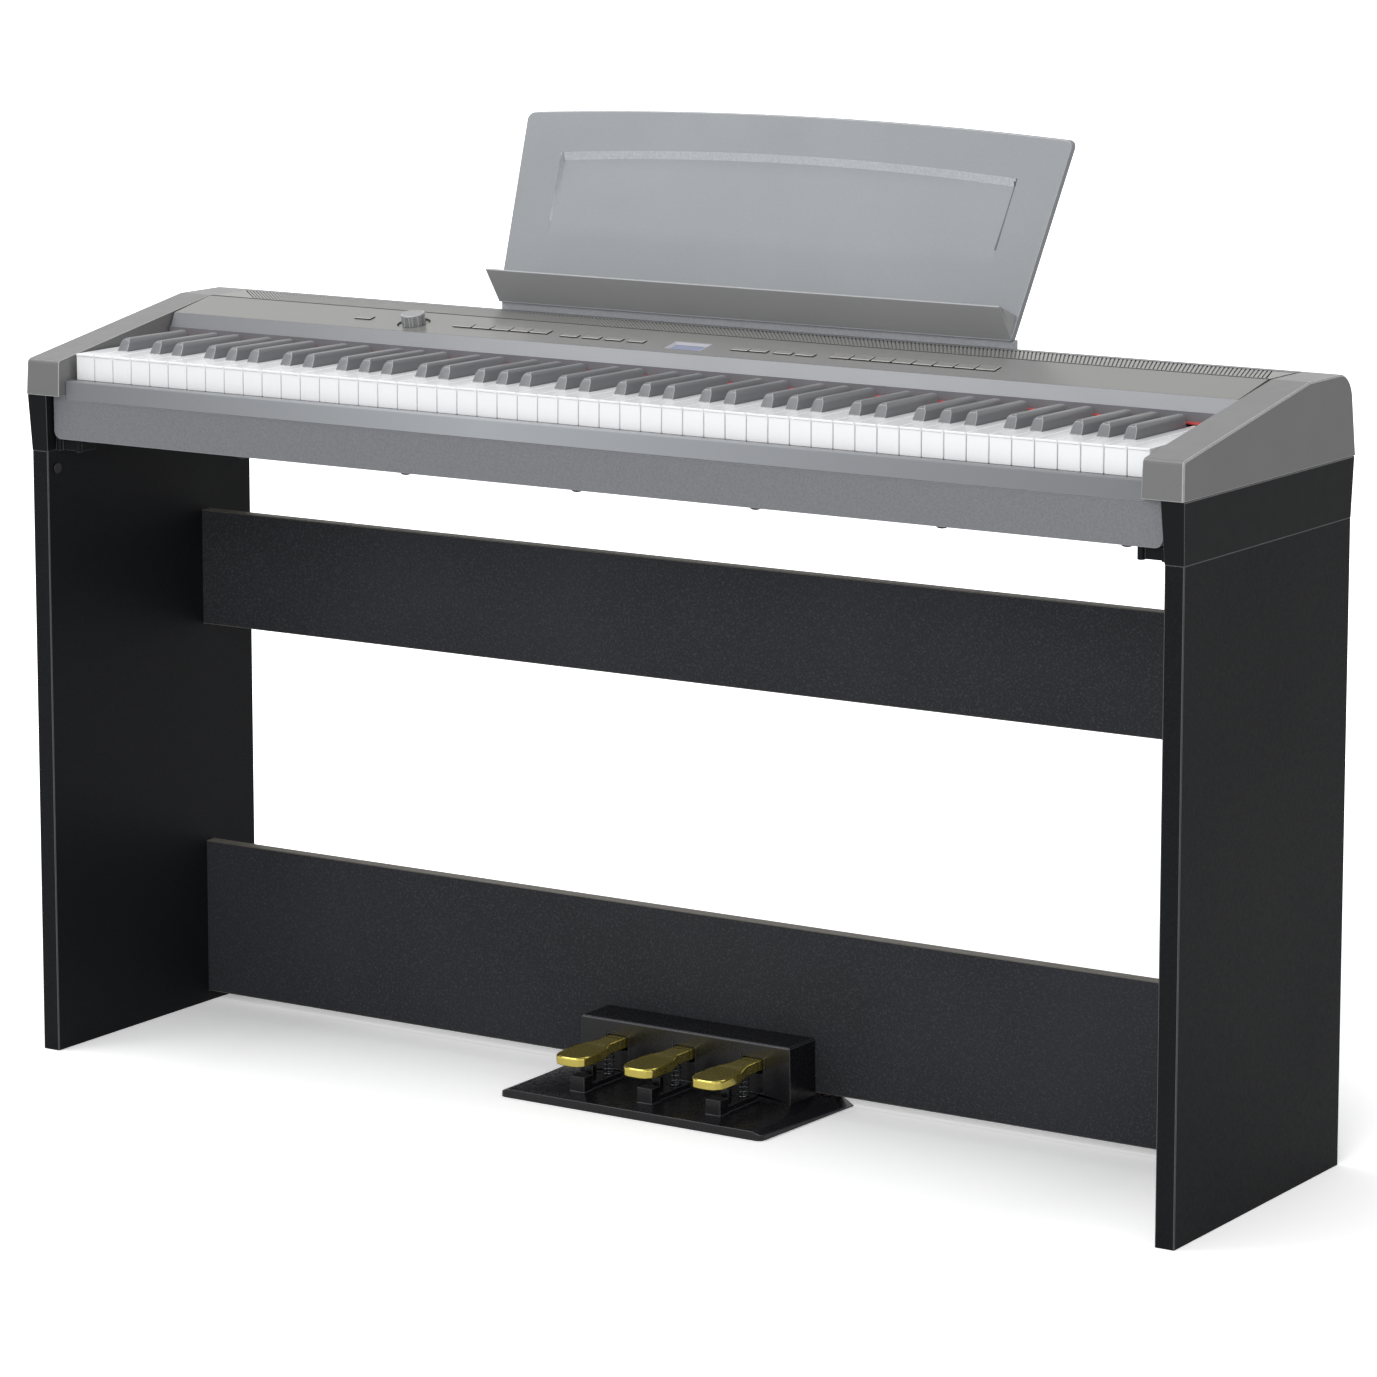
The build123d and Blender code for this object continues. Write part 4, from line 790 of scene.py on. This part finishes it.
front_rows = []
for u in grid_columns():
    row = []
    for z in grid_heights(u):
        x = u * rest_half(z)
        if u == STRIP_SIDE:
            x -= STRIP_GROWTH * min(STRIP_RUN, max(0.0, z - STRIP_KNEE))
        row.append((x, rest_front(z), recess_depth(u, z), z))
    front_rows.append(row)
bm = bmesh.new()
border = bm.edges.layers.float.new("bevel_weight_edge")
rim = []
for back in (False, True):
    grid = []
    for row in front_rows:
        points = [at(x, depth + (REST_BACK if back else deep), z) for x, depth, deep, z in row]
        grid.append([bm.verts.new(point) for point in points])
    for a, b in zip(grid, grid[1:]):
        for i in range(len(a) - 1):
            quad = [a[i], b[i], b[i + 1], a[i + 1]]
            made = bm.faces.new(quad[::-1] if back else quad)
            if not back:
                middle_x, middle_z = [sum(v.co[axis] for v in quad) / 4 / MM for axis in (0, 2)]
                made.material_index = face_slot(middle_x, middle_z)
    low_side = [line[0] for line in grid]
    high_side = [line[-1] for line in grid]
    rim.append(low_side + grid[-1][1:] + high_side[-2::-1] + grid[0][-2:0:-1])
for i in range(len(rim[0])):
    j = (i + 1) % len(rim[0])
    bm.faces.new([rim[0][j], rim[0][i], rim[1][i], rim[1][j]])
    for loop in rim:
        bm.edges.get((loop[i], loop[j]))[border] = 1.0
bmesh.ops.recalc_face_normals(bm, faces=bm.faces)
for face in bm.faces:
    face.smooth = face.material_index != SHADE_SLOT

rest = piece("rest_panel", bm, "music_rest", "rest_plastic")
for look in (edge_highlights["rest_plastic"], finish["rest_lit_grain"], finish["rest_shade"]):
    rest.data.materials.append(look.material)
add_modifier(
    rest, "round", "BEVEL", width=REST_ROUND * MM, segments=REST_STEPS,
    limit_method="WEIGHT", harden_normals=True, material=EDGE_SLOT
)

# The tray with a web at each end, then the stem with its two tongues: (depth, z) outlines.
TRAY_HALF, TRAY_UNDER, TRAY_INSIDE = 300.0, 765.6, 772.5
WEB, WEB_FOOT = 3.4, 772.0
TONGUE, TONGUES_AT = 60.0, (-180.0, 120.0)
BACK_GAP = 0.2
tray_outline = [
    (323.5, REST_FOOT), (299.4, 800.8), (300.4, 802.0), (303.0, 802.0),
    (rest_front(TRAY_INSIDE), TRAY_INSIDE), (rest_front(TRAY_INSIDE) + REST_BACK - BACK_GAP, TRAY_INSIDE),
    (rest_front(REST_FOOT) + REST_BACK - BACK_GAP, TRAY_UNDER),
]
web_outline = [
    (302.4, 799.6), (304.4, 800.4), (307.0, 799.4), (335.0, 789.0), (rest_front(WEB_FOOT), WEB_FOOT)
]
stem_outline = [(328.1, 745.3), (328.1, 765.6), (337.0, 765.6), (337.0, 745.3)]
tongue_outline = [(329.5, 723.8), (329.5, 746.0), (334.5, 746.0), (334.5, 723.8)]
# The tray's paler plastic is painted light on its lip, which faces down.
bm = bmesh.new()
prism(bm, tray_outline, -TRAY_HALF, TRAY_HALF)
for x in (-TRAY_HALF, TRAY_HALF - WEB):
    prism(bm, web_outline, x, x + WEB)
tray = piece("rest_tray", bm, "music_rest", "tray_lit_plastic", edge=0.5)
# The stem's paler plastic is painted light in the shade under the tray.
bm = bmesh.new()
prism(bm, stem_outline, -TRAY_HALF, TRAY_HALF)
for x in TONGUES_AT:
    prism(bm, tongue_outline, x, x + TONGUE)
stem = piece("rest_stem", bm, "music_rest", "stem_lit_plastic", edge=0.5)
for part in (rest, tray, stem):
    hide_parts("music_rest")

# ------------------------------------------------------------------ pedals
PEDALS = (("left", -80.0), ("middle", 0.0), ("right", 80.0))
# Their springs are wound in one smooth helix with closed ends.
WIRE, COIL_RADIUS, COIL_GAP = 0.75, 5.2, 0.8
COIL_TURNS, CLOSED_TURNS, COIL_STEPS = 6.0, 0.75, 24
for name, x in PEDALS:
    low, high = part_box(f"pedal_spring_{name}")
    curve = bpy.data.curves.new(f"coil_{name}", "CURVE")
    curve.dimensions = "3D"
    curve.bevel_depth = WIRE * MM
    curve.bevel_resolution = 3
    line = curve.splines.new("POLY")
    line.points.add(int(COIL_TURNS * COIL_STEPS))
    bottom, top = low.z + COIL_GAP * MM, high.z - COIL_GAP * MM
    for i, point in enumerate(line.points):
        t = i / (COIL_TURNS * COIL_STEPS)
        rise = limited((t * COIL_TURNS - CLOSED_TURNS) / (COIL_TURNS - 2 * CLOSED_TURNS))
        angle = math.tau * t * COIL_TURNS
        y = (low.y + high.y) / 2 + COIL_RADIUS * MM * math.sin(angle)
        point.co = (x * MM + COIL_RADIUS * MM * math.cos(angle), y, bottom + (top - bottom) * rise, 1.0)
    coil = put(bpy.data.objects.new(f"coil_{name}", curve))
    graph = bpy.context.evaluated_depsgraph_get()
    mesh = bpy.data.meshes.new_from_object(coil.evaluated_get(graph))
    bpy.data.objects.remove(coil)
    for polygon in mesh.polygons:
        polygon.use_smooth = True
    mesh.materials.clear()
    coil = piece(f"spring_coil_{name}", mesh, "frame", "spring_steel")
    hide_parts(f"pedal_spring_{name}")
    middle = (x * MM, (low.y + high.y) / 2, low.z)
    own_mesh(coil)

# A collar lines each pedal's slot, with room for the pedal to go down.
COLLAR_HALF, SLOT_HALF = 13.2, 11.6
COLLAR_FRONT, COLLAR_BACK = 209.6, 213.0
COLLAR_FOOT, SLOT_FOOT, SLOT_TOP, COLLAR_TOP = 16.2, 35.2, 51.4, 53.2
for name, x in PEDALS:
    bm = bmesh.new()
    for x0, x1, z0, z1 in (
        (-COLLAR_HALF, COLLAR_HALF, COLLAR_FOOT, SLOT_FOOT),
        (-COLLAR_HALF, -SLOT_HALF, SLOT_FOOT, SLOT_TOP),
        (SLOT_HALF, COLLAR_HALF, SLOT_FOOT, SLOT_TOP),
        (-COLLAR_HALF, COLLAR_HALF, SLOT_TOP, COLLAR_TOP),
    ):
        box_into(bm, (x + x0, COLLAR_FRONT, z0), (x + x1, COLLAR_BACK, z1))
    piece(f"pedal_collar_{name}", bm, "frame", "pedal_unit_plastic", edge=0.3)

# ------------------------------------------------------------------ control panel
# The sloping panel's own frame: x across, s up the slope and h above it, in millimetres.
DECK_DEPTH, DECK_FOOT = 187.6, 748.0
DECK_RISE, DECK_RUN = 12.0, 60.0
DECK_ANGLE = math.atan2(DECK_RISE, DECK_RUN)
DECK_PLACE = (0, FRONT + DECK_DEPTH * MM, DECK_FOOT * MM)
DECK = Matrix.Translation(DECK_PLACE) @ Matrix.Rotation(DECK_ANGLE, 4, "X")


def on_deck(x, s, h):
    return DECK @ Vector((x * MM, s * MM, h * MM))


def band_piece(name, outlines, key):
    """A closed band on the deck. Its outlines of (x, s, h) points follow each other round its section."""
    bm = bmesh.new()
    rings = [[bm.verts.new(on_deck(*point)) for point in outline] for outline in outlines]
    for a, b in zip(rings, rings[1:] + rings[:1]):
        wall_between(bm, a, b)
    bmesh.ops.recalc_face_normals(bm, faces=bm.faces)
    piece(name, bm, "frame", key)


# A dark ring in the dish round the knob is painted shade in its groove. Its section is given as (radius,
# h).
KNOB_X, KNOB_S, KNOB_STEPS = -328.0, 26.5, 72
RING_SECTION = ((15.3, -1.45), (15.5, -1.15), (17.0, -1.15), (17.1, -1.45))
outlines = []
for radius, h in RING_SECTION:
    turn = full_turn(KNOB_STEPS)
    outlines.append([(KNOB_X + radius * math.cos(a), KNOB_S + radius * math.sin(a), h) for a in turn])
band_piece("knob_groove_shade", outlines, "shade_plastic")

# A pale lavender band lines the slopes round the display, a painted reflection on them. Its section is
# given as (half x, half s, h).
DISPLAY_X, DISPLAY_S = 2.5, 24.0
BEZEL_SECTION = ((21.2, 10.7, -0.56), (21.2, 10.7, -0.42), (16.6, 6.2, -1.88), (16.6, 6.2, -2.0))
outlines = []
for half_x, half_s, h in BEZEL_SECTION:
    corners = ((-half_x, -half_s), (half_x, -half_s), (half_x, half_s), (-half_x, half_s))
    outlines.append([(DISPLAY_X + x, DISPLAY_S + s, h) for x, s in corners])
band_piece("display_slope_reflection", outlines, "bezel_reflection")

# Button caps: a skirt darkened by painted shade, a chamfer paled by a painted highlight and a plain top.
# For each bank the middles (x, s) of its buttons and their size, then the section as (inset, height) from
# the foot up.
BUTTONS = {
    "power_button": ([(-391.5, 30.0)], (20.4, 10.4)),
    "small_buttons": (
        [(x, 25.0) for x in (-136.5, -110.2, -83.9, -57.6, 63.0, 84.0, 111.9, 137.3)], (20.4, 8.6)
    ),
    "style_buttons": ([(-221.5 + 23.2 * (i - 2), 30.2) for i in range(5)], (22.4, 12.4)),
    "voice_buttons": ([(256.0 + 22.9 * (i - 3.5), 28.4) for i in range(8)], (22.1, 13.4)),
}
CAP_SECTION = ((0.5, -3.0), (0.5, 0.85), (0.62, 1.1), (0.95, 1.34), (1.4, 1.38))
CHAMFER_LEVELS = (1, 2)
CAP_CORNER, CORNER_STEPS = 1.2, 4
for name, (centres, (size_x, size_s)) in BUTTONS.items():
    bm = bmesh.new()
    for x, s in centres:
        rings = []
        for inset, height in CAP_SECTION:
            reach_x, reach_s = size_x / 2 - inset - CAP_CORNER, size_s / 2 - inset - CAP_CORNER
            ring = []
            for quarter, (side_x, side_s) in enumerate(((1, 1), (-1, 1), (-1, -1), (1, -1))):
                for step in range(CORNER_STEPS):
                    a = math.radians(90 * quarter + 30 * step)
                    cap_x = x + side_x * reach_x + CAP_CORNER * math.cos(a)
                    cap_s = s + side_s * reach_s + CAP_CORNER * math.sin(a)
                    ring.append(bm.verts.new(on_deck(cap_x, cap_s, height)))
            rings.append(ring)
        for level, (a, b) in enumerate(zip(rings, rings[1:])):
            for made in wall_between(bm, a, b):
                made.smooth = True
                made.material_index = EDGE_SLOT if level in CHAMFER_LEVELS else 0
        bm.faces.new(rings[-1])
        bm.faces.new(rings[0][::-1])
    bmesh.ops.recalc_face_normals(bm, faces=bm.faces)
    caps = piece(f"caps_{name}", bm, name, "button_plastic")
    caps.data.materials.append(edge_highlights["button_plastic"].material)
    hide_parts(name)

# A dark strip at the joint between the panel and the grille is painted shade on the step there.
STEP_SHADE_LOW, STEP_SHADE_HIGH = (-613.2, 247.5, 757.5), (613.2, 249.3, 760.35)
bm = bmesh.new()
box_into(bm, STEP_SHADE_LOW, STEP_SHADE_HIGH)
piece("panel_step_shade", bm, "frame", "shade_plastic", edge=0.15)

# ------------------------------------------------------------------ screws under the case
# A domed head with a cross recess: its profile in shares of the radius and the height, and the cross
# as shares of the radius, with its foot and its top as shares of the height and of the cross's size.
HEAD_PROFILE = ((0, 0), (1, 0), (1, 0.25), (0.93, 0.55), (0.7, 0.85), (0.35, 1), (0, 1))
HEAD_STEPS = 32
CROSS_LONG, CROSS_WIDE = 0.55, 0.11
CROSS_ENDS = ((0.45, 0.6), (1.4, 1.0))


def lathe(profile, steps):
    """A bmesh turned about Z from (radius, z) points in millimetres, from the axis out and back."""
    bm = bmesh.new()
    rings = []
    for r, z in profile:
        points = [(r * MM * math.cos(a), r * MM * math.sin(a), z * MM) for a in full_turn(steps)]
        rings.append([bm.verts.new(point) for point in (points if r else [(0, 0, z * MM)])])
    for a, b in zip(rings, rings[1:]):
        for i in range(steps):
            j = (i + 1) % steps
            corners = [a[i % len(a)], b[i % len(b)], b[j % len(b)], a[j % len(a)]]
            bm.faces.new(list(dict.fromkeys(corners)))
    bmesh.ops.recalc_face_normals(bm, faces=bm.faces)
    for face in bm.faces:
        face.smooth = True
    return bm


def screw_mesh(name, r, h):
    """A screw head of radius r and height h, standing up from z = 0."""
    head = lathe([(share * r, rise * h) for share, rise in HEAD_PROFILE], HEAD_STEPS)
    cross = bmesh.new()
    for a, b in ((CROSS_LONG * r, CROSS_WIDE * r), (CROSS_WIDE * r, CROSS_LONG * r)):
        corners = []
        for rise, taper in CROSS_ENDS:
            for x, y in ((-a, -b), (a, -b), (a, b), (-a, b)):
                corners.append(cross.verts.new((x * taper * MM, y * taper * MM, rise * h * MM)))
        close_box(cross, corners)
    head = put(bpy.data.objects.new(name, mesh_of(head, name)))
    cutter = put(bpy.data.objects.new(name + "_cut", mesh_of(cross, name + "_cut")))
    add_modifier(head, "cross", "BOOLEAN", operation="DIFFERENCE", object=cutter, use_self=True)
    graph = bpy.context.evaluated_depsgraph_get()
    made = bpy.data.meshes.new_from_object(head.evaluated_get(graph))
    for obj in (head, cutter):
        bpy.data.objects.remove(obj)
    return made


HEAD_RADIUS, HEAD_HEIGHT = 5.6, 3.0
SCREWS_AT = (-590, -400, -200, 0, 200, 400, 590)
SCREW_DEPTH, SCREW_SINK, SCREW_TURN = 22, 0.05, 0.7  # the turn is in radians from screw to screw
case_low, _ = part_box("bottom_case")
pan_head = screw_mesh("pan_head", HEAD_RADIUS, HEAD_HEIGHT)
pan_head.materials.clear()
pan_head.materials.append(finish["screw_steel"].material)
down = Matrix.Rotation(math.pi, 4, "X")
for i, x in enumerate(SCREWS_AT):
    screw = put(bpy.data.objects.new(f"case_screw_{i}", pan_head))
    place = (x * MM, FRONT + SCREW_DEPTH * MM, case_low.z + SCREW_SINK * MM)
    screw.matrix_world = Matrix.Translation(place) @ down @ Matrix.Rotation(SCREW_TURN * i, 4, "Z")
    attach(screw, "frame")

# ------------------------------------------------------------------ stage
# Seen directly or in a reflection, the paper is white but for the object's own shadow.
FLOOR_SIZE = 30
PAPER = (0.86, 0.86, 0.86, 1)
PAPER_SEEN = {"To Min": 0.95, "To Max": 1.5}  # reflected, and seen by the camera
HAZE = {"From Min": 0.5, "From Max": 2.0, "To Min": 0.05, "To Max": 1.0}  # glow by metres from the middle
bm = bmesh.new()
bmesh.ops.create_grid(bm, x_segments=1, y_segments=1, size=FLOOR_SIZE)
floor = put(bpy.data.objects.new("floor", mesh_of(bm, "floor")))
floor_look = bpy.data.materials.new("floor_paper")
floor_look.use_nodes = True
tree = floor_look.node_tree
shader = tree.nodes["Principled BSDF"]
for key, value in (("Base Color", PAPER), ("Roughness", 0.9), ("Specular IOR Level", 0.0)):
    feed(tree, shader.inputs[key], value)
path = add_node(tree, "ShaderNodeLightPath").outputs
camera_ray = path["Is Camera Ray"]
seen = calculate(tree, "MAXIMUM", camera_ray, path["Is Glossy Ray"])
shade = add_node(tree, "ShaderNodeMapRange", {"Value": camera_ray, **PAPER_SEEN}).outputs["Result"]
paper = add_node(tree, "ShaderNodeBsdfDiffuse", {"Color": shade}).outputs[0]
place = add_node(tree, "ShaderNodeTexCoord").outputs["Object"]
away = add_node(tree, "ShaderNodeVectorMath", {0: place}, operation="LENGTH").outputs["Value"]
glow = add_node(tree, "ShaderNodeMapRange", {"Value": away, **HAZE}).outputs["Result"]
strength = calculate(tree, "MULTIPLY", glow, camera_ray)
haze = add_node(tree, "ShaderNodeEmission", {"Strength": strength}).outputs[0]
both = add_node(tree, "ShaderNodeAddShader", {0: paper, 1: haze}).outputs[0]
choice = add_node(tree, "ShaderNodeMixShader", {0: seen, 1: shader.outputs[0], 2: both}).outputs[0]
tree.links.new(choice, tree.nodes["Material Output"].inputs["Surface"])
floor.data.materials.append(floor_look)

# The world lights the object at half the strength at which it is seen.
WORLD_LIGHT = {"To Min": 0.5, "To Max": 1.0}
world = bpy.data.worlds.new("studio")
bpy.context.scene.world = world
world.use_nodes = True
tree = world.node_tree
path = add_node(tree, "ShaderNodeLightPath").outputs
seen = calculate(tree, "MAXIMUM", path["Is Camera Ray"], path["Is Glossy Ray"])
seen = calculate(tree, "MAXIMUM", seen, path["Is Transmission Ray"])
level = add_node(tree, "ShaderNodeMapRange", {"Value": seen, **WORLD_LIGHT}).outputs["Result"]
background = tree.nodes["Background"]
feed(tree, background.inputs["Color"], (1, 1, 1, 1))
feed(tree, background.inputs["Strength"], level)

# Area lamps: place and target in metres, width and height in metres, and watts.
for name, place, target, size, watts in (
    ("overhead", (-1.45, -0.5, 3.1), (0.0, 0.0, 0.6), (2.6, 2.0), 46),
    ("front", (1.4, -3.4, 1.9), (0.0, 0.0, 0.5), (1.6, 1.6), 52),
):
    data = bpy.data.lights.new(name, "AREA")
    data.shape = "RECTANGLE"
    data.size, data.size_y = size
    data.energy = watts
    lamp = put(bpy.data.objects.new(name, data))
    lamp.location = place
    lamp.rotation_mode = "QUATERNION"
    lamp.rotation_quaternion = (Vector(target) - Vector(place)).to_track_quat("-Z", "Y")

# ------------------------------------------------------------------ camera
CAMERA_PLACE = (2.78296, -4.29393, 1.39576)
YAW, PITCH, ROLL = 0.57437, 0.15852, 0.0002
camera_data = bpy.data.cameras.new("camera")
camera = put(bpy.data.objects.new("camera", camera_data))
bpy.context.scene.camera = camera
forward = Vector((-math.sin(YAW) * math.cos(PITCH), math.cos(YAW) * math.cos(PITCH), -math.sin(PITCH)))
right = Vector((math.cos(YAW), math.sin(YAW), 0.0))
up = right.cross(forward)
right, up = right * math.cos(ROLL) + up * math.sin(ROLL), up * math.cos(ROLL) - right * math.sin(ROLL)
turn = Matrix((right, up, -forward)).transposed().to_4x4()
camera.matrix_world = Matrix.Translation(CAMERA_PLACE) @ turn
camera_data.sensor_width = 36.0
camera_data.lens = 138.33
camera_data.shift_y = -0.12
camera_data.clip_end = 100.0

bpy.context.scene.view_settings.view_transform = "Standard"
